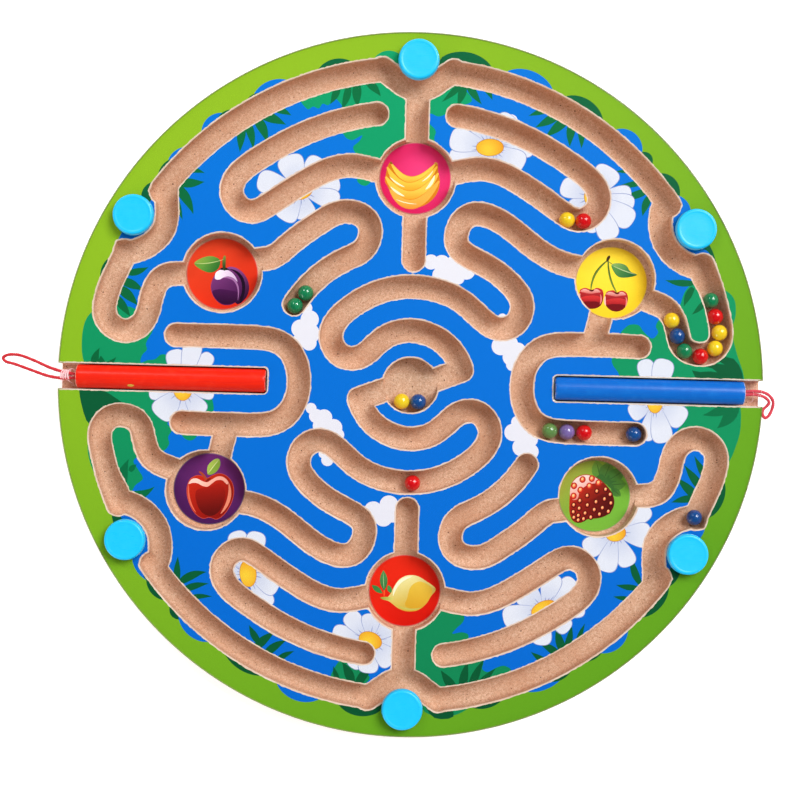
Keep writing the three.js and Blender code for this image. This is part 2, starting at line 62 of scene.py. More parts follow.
spiral = [[74.9,51.2],[69.9,51.9],[64.7,52.9],[59.4,54.9],[54.1,57.8],[48.9,61.5],[42.6,66.4],[37.4,69.9],[32.4,72.3],[28.1,73.4],[24.5,73.2],[21.4,71.5],[19.2,68.5],[18,64.6],[18.1,61],[19.6,58.1],[22.8,55.6],[28.9,52.5],[34.5,49.4],[39.2,45.9],[43.3,41.9],[45.8,38.2],[46.7,34.6],[46.3,31],[44.6,27.8],[41.8,25.6],[38.4,24.7],[34.9,25.3],[31.1,27.6],[26.1,31.9],[21.7,35.5],[17,38.2],[11.7,40.1],[6,41.3],[0.2,41.7],[-5.7,41.3],[-11.4,40.1],[-16.8,38.1],[-22,35.4],[-27,31.8],[-30.9,28.1],[-33.3,24.5],[-34.4,20.8],[-34,17.2],[-32.3,13.9],[-29.6,11.5],[-26.2,10.6],[-22.6,11],[-19.2,12.9],[-14.7,17.1],[-10.8,20.2],[-6.6,22.1],[-2,23],[2.8,22.8],[7.6,21.5],[12.1,19.3],[15.9,16.3],[18.9,12.6],[20.9,9.0],[21.7,6.6]]
bracket = [[97,18.6],[85.8,18.9],[75.8,18.9],[66.7,18.9],[60.2,18.3],[56,16.9],[52.5,14.3],[49.8,10.5],[48.1,5.9],[47.5,1],[47.9,-4.3],[49.4,-9.2],[51.7,-13.1],[54.9,-15.8],[59.1,-17.5],[64.9,-18.3],[73.9,-18.5],[82.9,-18.6],[91.1,-18.6],[96.2,-18.6]]
top_junction = [[-15.3,134.2],[-10,130.4],[-5,127],[0,125.6],[5,127],[10,130.4],[15.1,134]]


def arc_points(r, a0, a1, n):
    return [[r * math.cos(math.radians(a0 + (a1 - a0) * i / n)), r * math.sin(math.radians(a0 + (a1 - a0) * i / n))] for i in range(n + 1)]


POCKETS = [(0, 88.0), (0, -88.0), (-81.4, 45.7), (81.4, -45.7), (86.0, 47.2), (-86.0, -47.2)]
DISCS = {"banana": (-0.2, 89.0), "lemon": (-0.1, -88.8), "plum": (-82.3, 45.7), "apple": (-85.5, -47.1), "cherry": (85.6, 46.3), "strawberry": (80.6, -45.8)}
BALLS = [("01_yellow", 65.3, 72.4), ("02_red", 72.4, 72.1), ("03_green", -45.95, 38.15), ("04_green", -50.35, 32.55), ("05_green", 127.85, 39.45), ("06_red", 130.0, 32.6), ("07_yellow", 132.0, 25.75), ("08_yellow", 130.15, 18.95), ("09_red", 124, 15.4), ("10_green", 117.15, 17.45), ("11_blue", 113.9, 23.8), ("12_yellow", 111.35, 30.5), ("13_yellow", -3.55, -7.25), ("14_blue", 3.55, -7.25), ("15_green", 60.2, -18.2), ("16_violet", 67.6, -18.5), ("17_red", 75.0, -18.6), ("18_blue", 96.3, -18.7), ("19_red", 2.0, -42.1), ("20_blue", 123.2, -53.8)]
CAPS = [(137.7 * math.cos(math.radians(30 + 60 * i)), 137.7 * math.sin(math.radians(30 + 60 * i))) for i in range(6)]


# ----------------------------------------------------------- plane geometry
def centripetal(points, per=12):
    """Centripetal Catmull-Rom through the points, in any dimension."""
    p = np.array(points, float)
    p = np.vstack([2 * p[0] - p[1], p, 2 * p[-1] - p[-2]])
    out = []
    for i in range(1, len(p) - 2):
        p0, p1, p2, p3 = p[i - 1:i + 3]
        d0, d1, d2 = (max(np.linalg.norm(b - a), 1e-6) ** 0.5 for a, b in ((p0, p1), (p1, p2), (p2, p3)))
        t1 = ((p1 - p0) / d0 - (p2 - p0) / (d0 + d1) + (p2 - p1) / d1) * d1
        t2 = ((p2 - p1) / d1 - (p3 - p1) / (d1 + d2) + (p3 - p2) / d2) * d1
        w = (np.arange(per) / per)[:, None]
        out.append(p1 + t1 * w + (-3 * p1 + 3 * p2 - 2 * t1 - t2) * w ** 2 + (2 * p1 - 2 * p2 + t1 + t2) * w ** 3)
    out.append(p[-2][None])
    return np.vstack(out)


def thin(points, tol):
    """Douglas-Peucker on an open polyline."""
    p = np.asarray(points, float)
    keep = np.zeros(len(p), bool)
    keep[[0, -1]] = True
    stack = [(0, len(p) - 1)]
    while stack:
        a, b = stack.pop()
        if b - a < 2:
            continue
        d = p[b] - p[a]
        l = math.hypot(*d)
        v = p[a + 1:b] - p[a]
        off = np.abs(d[0] * v[:, 1] - d[1] * v[:, 0]) / l if l > 1e-9 else np.hypot(v[:, 0], v[:, 1])
        k = int(off.argmax())
        if off[k] > tol:
            keep[a + 1 + k] = True
            stack += [(a, a + 1 + k), (a + 1 + k, b)]
    return p[keep]


def thin_loop(p, tol, longest=6.0):
    far = int(((p - p[0]) ** 2).sum(1).argmax())
    a, b = thin(p[:far + 1], tol), thin(np.vstack([p[far:], p[:1]]), tol)
    q = np.vstack([a[:-1], b[:-1]])
    out = []
    for i in range(len(q)):
        s, e = q[i], q[(i + 1) % len(q)]
        n = max(1, int(math.ceil(math.hypot(*(e - s)) / longest)))
        out += [s + (e - s) * k / n for k in range(n)]
    return np.array(out)


def signed_area(p):
    x, y = p[:, 0], p[:, 1]
    return 0.5 * float(np.sum(x * np.roll(y, -1) - np.roll(x, -1) * y))


def circle(x, y, r, n=48, ry=None, rot=0.0):
    a = np.arange(n) * 2 * math.pi / n
    ry = r if ry is None else ry
    c, s = math.cos(rot), math.sin(rot)
    u, v = r * np.cos(a), ry * np.sin(a)
    return np.stack([x + u * c - v * s, y + u * s + v * c], 1)


def hash_noise(x, y, seed):
    n = np.sin(x * 127.1 + y * 311.7 + seed * 74.7) * 43758.5453
    return n - np.floor(n)


def value_noise(x, y, seed=0.0):
    """Smooth noise from 0 to 1 with a unit cell."""
    xi, yi = np.floor(x), np.floor(y)
    fx, fy = x - xi, y - yi
    fx, fy = fx * fx * (3 - 2 * fx), fy * fy * (3 - 2 * fy)
    a, b = hash_noise(xi, yi, seed), hash_noise(xi + 1, yi, seed)
    c, d = hash_noise(xi, yi + 1, seed), hash_noise(xi + 1, yi + 1, seed)
    return (a * (1 - fx) + b * fx) * (1 - fy) + (c * (1 - fx) + d * fx) * fy


# every cut is a set of capsules: (x0, y0, x1, y1, half width)
capsules = []


def band(points, half=GROOVE_HALF, smooth=True, both=True):
    line = thin(centripetal(points), 0.006) if smooth else np.array(points, float)
    for sign in ((1, -1) if both else (1,)):
        for a, b in zip(line[:-1], line[1:]):
            capsules.append((sign * a[0], sign * a[1], sign * b[0], sign * b[1], half))


band(hook)
band([[-x, y] for x, y in hook])
band(arc_points(134.6, 96.5, 143.2, 24), RING_HALF)
band(arc_points(134.1, 36.2, 83.6, 24), RING_HALF)
band(top_junction, RING_HALF)
band(arc_points(134.5, 17.6, 23.7, 6), RING_HALF)
for line in (left_bypass, left_bend, right_bypass, right_bend, inner_hook, spiral, bracket):
    band(line)
# sharp corners where the ring grooves turn past the caps: corner, direction back into the groove
for px, py, dx, dy in ((126.5, 57.9, -.65, -.76), (113.4, 79.8, -.991, -.135)):
    for m in (1, -1):
        for r in (4.5, 4.0, 3.5, 3.0, 2.5, 2.0, 1.5, 1.0, 0.7):
            x, y = m * (px + dx * 1.14 * r), py + dy * 1.14 * r
            band([[x, y], [x + 0.01, y]], r, False)
band([[-92, 18.6], [-100.2, 18.6]], GROOVE_HALF, False, False)
for line in ([[77.7, 20], [80.9, 34]], [[0, 125], [0, 100]], [[0, 76], [0, 53]], [[21.7, 6.6], [7.5, 1.2]]):
    band(line, GROOVE_HALF, False)
CAPSULES = np.array(capsules)

STEP = 0.5
AX = np.arange(-153, 153 + STEP / 2, STEP)
NX = len(AX)
GX, GY = np.meshgrid(AX, AX)  # [row y, column x]


def capsule_field(c, x, y):
    dx, dy = c[..., 2] - c[..., 0], c[..., 3] - c[..., 1]
    l2 = np.maximum(dx * dx + dy * dy, 1e-12)
    t = np.clip(((x - c[..., 0]) * dx + (y - c[..., 1]) * dy) / l2, 0, 1)
    return c[..., 4] - np.hypot(x - c[..., 0] - t * dx, y - c[..., 1] - t * dy)


groove = np.full((NX, NX), -9.0)
owner = np.zeros((NX, NX), int)
for k, c in enumerate(CAPSULES):
    m = c[4] + 2.6
    i0, i1 = (int((min(c[0], c[2]) - m + 153) / STEP), int((max(c[0], c[2]) + m + 153) / STEP) + 2)
    j0, j1 = (int((min(c[1], c[3]) - m + 153) / STEP), int((max(c[1], c[3]) + m + 153) / STEP) + 2)
    i0, j0 = max(i0, 0), max(j0, 0)
    g = capsule_field(c, GX[j0:j1, i0:i1], GY[j0:j1, i0:i1])
    better = g > groove[j0:j1, i0:i1]
    groove[j0:j1, i0:i1][better] = g[better]
    owner[j0:j1, i0:i1][better] = k


def groove_at(x, y):
    """Exact depth inside the grooves, from the capsules that own the nodes around."""
    i = np.clip(((x + 153) / STEP).astype(int), 1, NX - 3)
    j = np.clip(((y + 153) / STEP).astype(int), 1, NX - 3)
    best = np.full(len(x), -9.0)
    for di in (-1, 0, 1, 2):
        for dj in (-1, 0, 1, 2):
            best = np.maximum(best, capsule_field(CAPSULES[owner[j + dj, i + di]], x, y))
    return best


def contours(field, level):
    """Closed loops of field = level, with the higher side on the left."""
    v = field - level
    v = np.where(np.abs(v) < 1e-9, 1e-9, v)
    s = v > 0
    a, b, c, d = s[:-1, :-1], s[:-1, 1:], s[1:, 1:], s[1:, :-1]
    code = a * 1 + b * 2 + c * 4 + d * 8
    table = {1: [(0, 3)], 2: [(1, 0)], 4: [(2, 1)], 8: [(3, 2)], 3: [(1, 3)], 6: [(2, 0)], 12: [(3, 1)], 9: [(0, 2)], 7: [(2, 3)], 11: [(1, 2)], 13: [(0, 1)], 14: [(3, 0)], 5: [(0, 3), (2, 1)], 10: [(1, 0), (3, 2)]}
    follow = {}
    for key, pairs in table.items():
        jj, ii = np.nonzero(code == key)
        if not len(ii):
            continue
        base = 2 * (jj * NX + ii)
        edge = [base, base + 3, base + 2 * NX, base + 1]  # bottom, right, top, left
        for p, q in pairs:
            follow.update(zip(edge[p].tolist(), edge[q].tolist()))
    loops = []
    while follow:
        start, nxt = follow.popitem()
        chain = [start]
        while nxt != start:
            chain.append(nxt)
            nxt = follow.pop(nxt, start)
        e = np.array(chain)
        j, i = np.divmod(e // 2, NX)
        up = e % 2 == 1
        v0 = v[j, i]
        v1 = np.where(up, v[np.minimum(j + 1, NX - 1), i], v[j, np.minimum(i + 1, NX - 1)])
        t = v0 / (v0 - v1)
        loops.append(np.stack([AX[i] + np.where(up, 0, t * STEP), AX[j] + np.where(up, t * STEP, 0)], 1))
    return [l for l in loops if len(l) > 8]


class Plan:
    """Closed loops in the plane, triangulated together."""

    def __init__(self):
        self.v, self.f, self.kind, self.sign, self.tag = [], [], [], [], []

    def add(self, loop, kind, tag=None, signed=False):
        a = signed_area(loop)
        if abs(a) < 0.02:
            return
        if a < 0:
            loop = loop[::-1]
        n = len(self.v)
        self.v += [Vector((float(x), float(y))) for x, y in loop]
        self.tag += [tag] * len(loop)
        self.f.append(list(range(n, n + len(loop))))
        self.kind.append(kind)
        self.sign.append(-1 if signed and a < 0 else 1)

    def points(self, xy):
        self.v += [Vector((float(x), float(y))) for x, y in xy]
        self.tag += [None] * len(xy)

    def run(self):
        v, _, f, ov, _, of = delaunay_2d_cdt(self.v, [], self.f, 0, 1e-5, True)
        self.V = np.array([(p.x, p.y) for p in v])
        self.T = np.array([t for t in f if len(t) == 3])
        self.inside = [o for t, o in zip(f, of) if len(t) == 3]
        tags = [[self.tag[k] for k in o if self.tag[k] is not None] for o in ov]
        self.vtag = [t[0] if t else None for t in tags]
        p = self.V[self.T]
        area = (p[:, 1, 0] - p[:, 0, 0]) * (p[:, 2, 1] - p[:, 0, 1]) - (p[:, 1, 1] - p[:, 0, 1]) * (p[:, 2, 0] - p[:, 0, 0])
        self.T[area < 0] = self.T[area < 0][:, ::-1]
        return self

    def count(self, kinds):
        """For each triangle, how many loops of these kinds hold it, less those it is a hole of."""
        sel = {k for k in range(len(self.f)) if self.kind[k] in kinds}
        return np.array([sum(self.sign[k] for k in o if k in sel) for o in self.inside])


def new_mesh(name, verts, faces, smooth=None, scale=MM):
    me = bpy.data.meshes.new(name)
    me.from_pydata((np.asarray(verts, float) * scale).tolist(), [], [list(map(int, f)) for f in faces])
    me.validate()
    me.update()
    if smooth is not None:
        me.polygons.foreach_set("use_smooth", [True] * len(me.polygons))
        me.set_sharp_from_angle(angle=math.radians(smooth))
    ob = bpy.data.objects.new(name, me)
    bpy.context.scene.collection.objects.link(ob)
    return ob


def done(ob, body, slot, mat, *nodes):
    if mat is not None:
        ob.data.materials.clear()
        ob.data.materials.append(mat)
    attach(ob, body)
    if nodes:
        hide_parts(*nodes)
    return ob


def lathe(name, profile, segments=64, axis="z", at=(0, 0, 0), smooth=35, scale=MM):
    """A closed turned body. profile is [(radius, height)], starting and ending on the axis or closing on itself."""
    prof = [tuple(p) for p in profile]
    closed = prof[0] == prof[-1]
    if closed:
        prof = prof[:-1]
    verts, rings = [], []
    for r, h in prof:
        if r < 1e-9:
            rings.append([len(verts)])
            verts.append((0, 0, h))
        else:
            rings.append(list(range(len(verts), len(verts) + segments)))
            verts += [(r * math.cos(2 * math.pi * k / segments), r * math.sin(2 * math.pi * k / segments), h) for k in range(segments)]
    faces = []
    pairs = list(zip(rings[:-1], rings[1:])) + ([(rings[-1], rings[0])] if closed else [])
    for a, b in pairs:
        for k in range(segments):
            l = (k + 1) % segments
            if len(a) == 1 and len(b) == 1:
                continue
            if len(a) == 1:
                faces.append((a[0], b[l], b[k]))
            elif len(b) == 1:
                faces.append((a[k], a[l], b[0]))
            else:
                faces.append((a[k], a[l], b[l], b[k]))
    v = np.array(verts, float)
    if axis == "x":
        v = np.stack([v[:, 2], v[:, 0], v[:, 1]], 1)
    elif axis == "-x":
        v = np.stack([-v[:, 2], -v[:, 0], v[:, 1]], 1)
    v += np.array(at, float)
    ob = new_mesh(name, v, faces, None, scale)
    bm = bmesh.new()
    bm.from_mesh(ob.data)
    bmesh.ops.recalc_face_normals(bm, faces=bm.faces)
    bm.to_mesh(ob.data)
    bm.free()
    ob.data.polygons.foreach_set("use_smooth", [True] * len(ob.data.polygons))
    ob.data.set_sharp_from_angle(angle=math.radians(smooth))
    return ob


# ---------------------------------------------------------------- materials
def lin(c):
    c = c / 255.0
    return c / 12.92 if c <= 0.04045 else ((c + 0.055) / 1.055) ** 2.4


def rgb(r, g, b):
    return (lin(r), lin(g), lin(b), 1.0)


class Mat:
    def __init__(self, name):
        self.m = bpy.data.materials.new(name)
        self.m.use_nodes = True
        self.t = self.m.node_tree
        self.t.nodes.clear()
        self.out = self.t.nodes.new("ShaderNodeOutputMaterial")
        tc = self.t.nodes.new("ShaderNodeTexCoord")
        mp = self.t.nodes.new("ShaderNodeMapping")
        mp.inputs["Scale"].default_value = (1000, 1000, 1000)
        self.t.links.new(tc.outputs["Object"], mp.inputs["Vector"])
        self.p = mp.outputs["Vector"]  # millimetres

    def put(self, socket, value):
        if isinstance(value, bpy.types.NodeSocket):
            self.t.links.new(value, socket)
        elif value is not None:
            socket.default_value = value

    def node(self, kind, props=None, **inputs):
        n = self.t.nodes.new("ShaderNode" + kind)
        for k, v in (props or {}).items():
            setattr(n, k, v)
        for k, v in inputs.items():
            self.put(n.inputs[int(k[1:]) if k[0] == "i" and k[1:].isdigit() else k.replace("_", " ")], v)
        return n

    def noise(self, scale, detail=2.0, rough=0.5, vec=None, distortion=0.0):
        return self.node("TexNoise", Vector=vec or self.p, Scale=scale, Detail=detail, Roughness=rough, Distortion=distortion).outputs["Fac"]

    def scaled(self, x, y, z, vec=None):
        return self.node("VectorMath", {"operation": "MULTIPLY"}, i0=vec or self.p, i1=(x, y, z)).outputs[0]

    def math(self, op, a, b=0.0, clamp=False):
        return self.node("Math", {"operation": op, "use_clamp": clamp}, i0=a, i1=b).outputs[0]

    def ramp(self, fac, stops):
        n = self.node("ValToRGB")
        self.put(n.inputs[0], fac)
        e = n.color_ramp.elements
        while len(e) < len(stops):
            e.new(0.5)
        for k, (pos, col) in enumerate(stops):
            e[k].position = pos
            e[k].color = col if not isinstance(col, (int, float)) else (col, col, col, 1)
        return n.outputs["Color"]

    def mix(self, fac, a, b, mode="MIX"):
        n = self.node("Mix", {"data_type": "RGBA", "blend_type": mode})
        self.put(n.inputs[0], fac)
        self.put(n.inputs[6], a)
        self.put(n.inputs[7], b)
        return n.outputs[2]

    def bump(self, height, distance, strength=1.0, normal=None):
        n = self.node("Bump", Strength=strength, Distance=distance * MM, Height=height)
        if normal:
            self.put(n.inputs["Normal"], normal)
        return n.outputs["Normal"]

    def principled(self, colour, rough, normal=None, **extra):
        n = self.node("BsdfPrincipled")
        self.put(n.inputs["Base Color"], colour)
        self.put(n.inputs["Roughness"], rough)
        if normal:
            self.put(n.inputs["Normal"], normal)
        for k, v in extra.items():
            self.put(n.inputs[k.replace("_", " ")], v)
        self.t.links.new(n.outputs[0], self.out.inputs["Surface"])
        return self.m


def mdf_material():
    k = Mat("fibreboard")
    fine = k.noise(3.2, 3, 0.65)
    fibre = k.noise(1.1, 4, 0.6, k.scaled(1, 1, 0.35), 0.6)
    broad = k.noise(0.045, 2, 0.5)
    col = k.ramp(fibre, [(0.28, rgb(204, 156, 128)), (0.5, rgb(230, 188, 158)), (0.72, rgb(250, 218, 192))])
    col = k.mix(k.ramp(broad, [(0.35, 0.0), (0.7, 0.55)]), col, rgb(214, 156, 120))
    col = k.mix(k.ramp(fine, [(0.34, 0.75), (0.5, 0.0)]), col, rgb(164, 104, 74))
    col = k.mix(k.ramp(k.noise(2.1, 3, 0.7), [(0.55, 0.0), (0.72, 0.55)]), col, rgb(252, 226, 204))
    # dark bark specks
    for size, reach, dark in ((0.27, 0.08, rgb(92, 54, 36)), (0.5, 0.12, rgb(140, 88, 62))):
        v = k.node("TexVoronoi", {"feature": "F1"}, Vector=k.p, Scale=size)
        near = k.math("LESS_THAN", v.outputs["Distance"], reach)
        some = k.math("GREATER_THAN", k.noise(0.31 + size, 1), 0.5)
        col = k.mix(k.math("MULTIPLY", near, some), col, dark)
    # cut fibres stand up paler along the top edge
    z = k.node("SeparateXYZ", Vector=k.p).outputs["Z"]
    edge = k.math("MULTIPLY", k.math("SUBTRACT", z, 10.9), 0.8, True)
    edge = k.math("MULTIPLY", edge, k.ramp(k.noise(1.6, 2), [(0.3, 0.35), (0.6, 1.0)]))
    col = k.mix(edge, col, rgb(240, 214, 194))
    h = k.math("ADD", k.math("MULTIPLY", fine, 0.6), fibre)
    return k.principled(col, 0.88, k.bump(h, 0.16, 0.8), Specular_IOR_Level=0.25)


def print_material(name, gain=1.0):
    k = Mat(name)
    col = k.node("VertexColor", {"layer_name": "Art"}).outputs["Color"]
    grain = k.noise(2.4, 3, 0.6)
    col = k.mix(k.ramp(grain, [(0.3, 0.10), (0.7, 0.0)]), col, k.mix(0.5, col, (0.0, 0.01, 0.03, 1)))
    col = k.mix(k.ramp(k.noise(9.0, 1), [(0.45, 0.0), (0.85, 0.003)]), col, (1, 1, 1, 1))
    if gain != 1.0:
        col = k.mix(1.0, col, (gain, gain, gain, 1), "MULTIPLY")
    rough = k.ramp(grain, [(0.3, 0.38), (0.7, 0.52)])
    return k.principled(col, rough, k.bump(k.math("ADD", grain, k.noise(0.35, 2)), 0.05, 0.5), Specular_IOR_Level=0.08)


def plastic_material(name, colour, edge, rough=0.32):
    k = Mat(name)
    cloud = k.noise(0.5, 3, 0.5)
    col = k.mix(k.ramp(cloud, [(0.35, 0.0), (0.75, 0.25)]), colour, edge)
    scratch = k.noise(2.0, 2, 0.7, k.scaled(0.15, 2.2, 1))
    return k.principled(col, k.ramp(scratch, [(0.3, rough - 0.06), (0.7, rough + 0.12)]), k.bump(k.math("ADD", scratch, cloud), 0.02, 0.5), Subsurface_Weight=0.0)


def paint_material(name, colour, dark, light):
    k = Mat(name)
    n = k.noise(0.55, 3, 0.5)
    col = k.mix(k.ramp(n, [(0.35, 0.0), (0.7, 0.5)]), colour, dark)
    col = k.mix(k.ramp(k.noise(1.7, 2), [(0.62, 0.0), (0.8, 0.35)]), col, light)
    nick = k.math("GREATER_THAN", k.noise(1.15, 4, 0.7), 0.72)
    col = k.mix(k.math("MULTIPLY", nick, 0.7), col, light)
    return k.principled(col, 0.2, k.bump(k.math("ADD", n, k.noise(3.0, 2)), 0.03, 0.5), Coat_Weight=0.7, Coat_Roughness=0.06)


MDF = mdf_material()
PRINT = print_material("printed_paper")
PICTURE = print_material("picture_print", 1.18)
CAP_MAT = plastic_material("cap_plastic", rgb(6, 194, 248), rgb(36, 208, 252))
WASHER_MAT = plastic_material("washer_plastic", rgb(210, 222, 226), rgb(235, 240, 242))


def metal_material(name, colour, rough):
    k = Mat(name)
    n = k.noise(3.0, 3, 0.6, k.scaled(0.4, 3, 1))
    return k.principled(k.mix(k.ramp(n, [(0.3, 0.0), (0.8, 0.5)]), colour, (0.25, 0.25, 0.27, 1)), k.ramp(n, [(0.3, rough), (0.7, rough + 0.2)]), k.bump(n, 0.02, 0.5), Metallic=1.0)


SCREW_MAT = metal_material("screw_steel", (0.55, 0.56, 0.58, 1), 0.3)
MAGNET_MAT = metal_material("magnet_nickel", (0.6, 0.6, 0.62, 1), 0.22)


def acrylic_material():
    k = Mat("clear_acrylic")
    # Schlick's curve on both faces: the sheet is thin, so no ray is trapped in it
    g = k.node("NewGeometry")
    dot = k.node("VectorMath", {"operation": "DOT_PRODUCT"})
    k.t.links.new(g.outputs["Incoming"], dot.inputs[0])
    k.t.links.new(g.outputs["Normal"], dot.inputs[1])
    graze = k.math("SUBTRACT", 1.0, k.math("ABSOLUTE", dot.outputs["Value"]))
    fresnel = k.math("MINIMUM", k.math("ADD", k.math("MULTIPLY", k.math("POWER", graze, 5.0), 0.96), 0.034), 0.26)
    fine = k.noise(0.35, 3, 0.6)
    hair = k.noise(1.3, 3, 0.75, k.scaled(0.06, 1.6, 1))
    normal = k.bump(k.math("ADD", fine, k.math("MULTIPLY", hair, 0.4)), 0.012, 0.4)
    gloss = k.node("BsdfGlossy", Color=(1, 1, 1, 1), Roughness=0.06, Normal=normal)
    clear = k.node("BsdfTransparent", Color=(0.985, 0.992, 0.99, 1))
    mix = k.node("MixShader", i0=k.math("MULTIPLY", fresnel, 0.85))
    k.t.links.new(clear.outputs[0], mix.inputs[1])
    k.t.links.new(gloss.outputs[0], mix.inputs[2])
    # the cut edge scatters light, so it is drawn pale and partly opaque along the pen slots; at the rim its colour is
    # painted olive green, a painted stand-in for the printed border seen through the clear plastic
    xyz = k.node("SeparateXYZ", Vector=k.node("NewGeometry").outputs["Position"])
    r2 = k.math("ADD", k.math("POWER", k.math("ABSOLUTE", xyz.outputs["X"]), 2.0), k.math("POWER", k.math("ABSOLUTE", xyz.outputs["Y"]), 2.0))
    rim = k.math("GREATER_THAN", r2, 0.148 ** 2)
    edge = k.node("BsdfPrincipled", Base_Color=k.ramp(rim, [(0.0, rgb(226, 240, 238)), (1.0, rgb(120, 150, 44))]), Roughness=0.35)
    pale = k.node("MixShader")
    n = k.node("SeparateXYZ", Vector=k.node("NewGeometry").outputs["True Normal"]).outputs["Z"]
    side = k.math("LESS_THAN", k.math("ABSOLUTE", n), 0.9)
    lit = k.math("SUBTRACT", 1.0, k.node("LightPath").outputs["Is Shadow Ray"])  # the edge casts no shadow on the print
    side = k.math("MULTIPLY", side, lit)
    k.put(pale.inputs[0], k.math("MULTIPLY", side, k.math("ADD", k.ramp(k.noise(1.2, 2), [(0.3, 0.25), (0.7, 0.5)]), k.math("MULTIPLY", rim, 0.35))))
    k.t.links.new(mix.outputs[0], pale.inputs[1])
    k.t.links.new(edge.outputs[0], pale.inputs[2])
    k.t.links.new(pale.outputs[0], k.out.inputs["Surface"])
    return k.m


ACRYLIC = acrylic_material()


def cord_material(name, thread, light):
    k = Mat(name)
    n = k.noise(6.0, 3, 0.7)
    col = k.mix(k.ramp(n, [(0.35, 0.0), (0.7, 0.75)]), thread, light)
    return k.principled(col, 0.8, k.bump(n, 0.08, 0.8), Sheen_Weight=0.15)


def fray_material():
    k = Mat("cord_fray")
    n = k.noise(4.0, 3, 0.7)
    return k.principled(k.mix(k.ramp(n, [(0.3, 0.0), (0.75, 1.0)]), rgb(250, 236, 236), rgb(238, 132, 146)), 0.85, k.bump(n, 0.05, 0.6), Sheen_Weight=0.3)


CORD = {"red": cord_material("cord_red_thread", rgb(196, 10, 30), rgb(222, 52, 62)),
        "blue": cord_material("cord_pink_thread", rgb(206, 24, 52), rgb(238, 104, 118))}
FRAY = fray_material()


# ------------------------------------------------------- grooved fibreboard
def slot_loop(side, half, inner, far=156.0, c=1.6):
    raw = [(far, -half), (far, half)]
    raw += [(inner + c - c * math.sin(a), half - c + c * math.cos(a)) for a in np.linspace(0, math.pi / 2, 9)]
    raw += [(inner + c - c * math.cos(a), -half + c - c * math.sin(a)) for a in np.linspace(0, math.pi / 2, 9)]
    return np.array([(side * x, side * y) for x, y in raw])


def build_board():
    plan = Plan()
    plan.add(circle(0, 0, BOARD_R, 400), "rim")
    for x, y in POCKETS:
        plan.add(circle(x, y, POCKET_R, 120), "pocket")
    plan.add(circle(0, -0.3, CENTRE_R, 96), "pocket")
    for side in (1, -1):
        plan.add(slot_loop(side, SLOT_HALF, SLOT_IN), "slot")
        plan.add(slot_loop(side, SLOT_HALF - 0.7, SLOT_IN + 0.7, c=1.0), "slotring")
    for x, y in CAPS:
        plan.add(circle(x, y, 1.68, 16), "pilot")
    for g in (0.0, 0.06, 0.25, 0.6, 1.15, 1.9, 2.8, COVE_R):
        for loop in contours(groove, g):
            plan.add(thin_loop(loop, 0.018), "g0" if g == 0 else "ring", g, True)
    plan.run()
    n = {k: plan.count({k}) for k in ("rim", "pocket", "slot", "slotring", "pilot", "g0")}
    cls = np.where(n["pilot"] > 0, 4, np.where(n["pocket"] > 0, 2, np.where(n["slot"] > 0, 3, np.where(n["g0"] > 0, 1, 0))))
    keep = n["rim"] > 0
    T, cls = plan.T[keep], cls[keep]
    V = plan.V
    g = groove_at(V[:, 0], V[:, 1])
    g = np.array([t if t is not None else e for t, e in zip(plan.vtag, g)])
    gc = np.clip(g, 0, COVE_R)
    zg = FLOOR_Z + COVE_R - np.sqrt(np.maximum(COVE_R ** 2 - (COVE_R - gc) ** 2, 0))
    ring = np.abs(np.abs(V[:, 1]) - SLOT_HALF) < 0.02
    ring |= (np.abs(V[:, 0]) < SLOT_IN + 1.61) & (np.minimum(np.abs(V[:, 0]) - SLOT_IN, SLOT_HALF - np.abs(V[:, 1])) < 0.55)
    zs = np.where(ring & (np.abs(V[:, 0]) > SLOT_IN - 1), SLOT_Z + 0.7, SLOT_Z)
    Z = [np.full(len(V), BOARD_T), zg, np.full(len(V), FLOOR_Z), zs, np.full(len(V), 2.6)]
    verts, faces, at = [], [], {}

    def vert(i, c, z=None, r=None):
        key = (i, c)
        if key not in at:
            x, y = V[i]
            if r is not None:
                x, y = x * r / BOARD_R, y * r / BOARD_R
            at[key] = len(verts)
            verts.append((x, y, Z[c][i] if z is None else z))
        return at[key]

    edges = {}
    for t, c in zip(T.tolist(), cls.tolist()):
        faces.append([vert(i, c) for i in t])
        for k in range(3):
            edges[(t[k], t[(k + 1) % 3])] = c
    rim = {}
    for (a, b), c in edges.items():
        d = edges.get((b, a))
        if d is None:
            rim[a] = (b, c)
        elif d != c and (Z[c][a] + Z[c][b] > Z[d][a] + Z[d][b] or (Z[c][a] + Z[c][b] == Z[d][a] + Z[d][b] and c < d)):
            q = [vert(a, c), vert(a, d), vert(b, d), vert(b, c)]
            faces.append(q)
    ring_loop = []
    start = next(iter(rim))
    i = start
    while True:
        j, c = rim[i]
        za = Z[c][i]
        faces.append([vert(i, c), vert(i, 10, 0.7), vert(j, 10, 0.7), vert(j, c)])
        faces.append([vert(i, 10), vert(i, 11, 0.18, BOARD_R - 0.18), vert(j, 11, 0.18, BOARD_R - 0.18), vert(j, 10)])
        faces.append([vert(i, 11), vert(i, 12, 0.0, BOARD_R - 0.7), vert(j, 12, 0.0, BOARD_R - 0.7), vert(j, 11)])
        ring_loop.append(at[(i, 12)])
        i = j
        if i == start:
            break
    faces.append(ring_loop[::-1])
    ob = new_mesh("board_grooved", verts, faces)
    bm = bmesh.new()
    bm.from_mesh(ob.data)
    bmesh.ops.remove_doubles(bm, verts=bm.verts, dist=2e-6)
    bmesh.ops.dissolve_degenerate(bm, edges=bm.edges, dist=1e-7)
    bm.to_mesh(ob.data)
    bm.free()
    ob.data.polygons.foreach_set("use_smooth", [True] * len(ob.data.polygons))
    ob.data.set_sharp_from_angle(angle=math.radians(40))
    return done(ob, "board", "fibreboard", MDF, "maze_board")


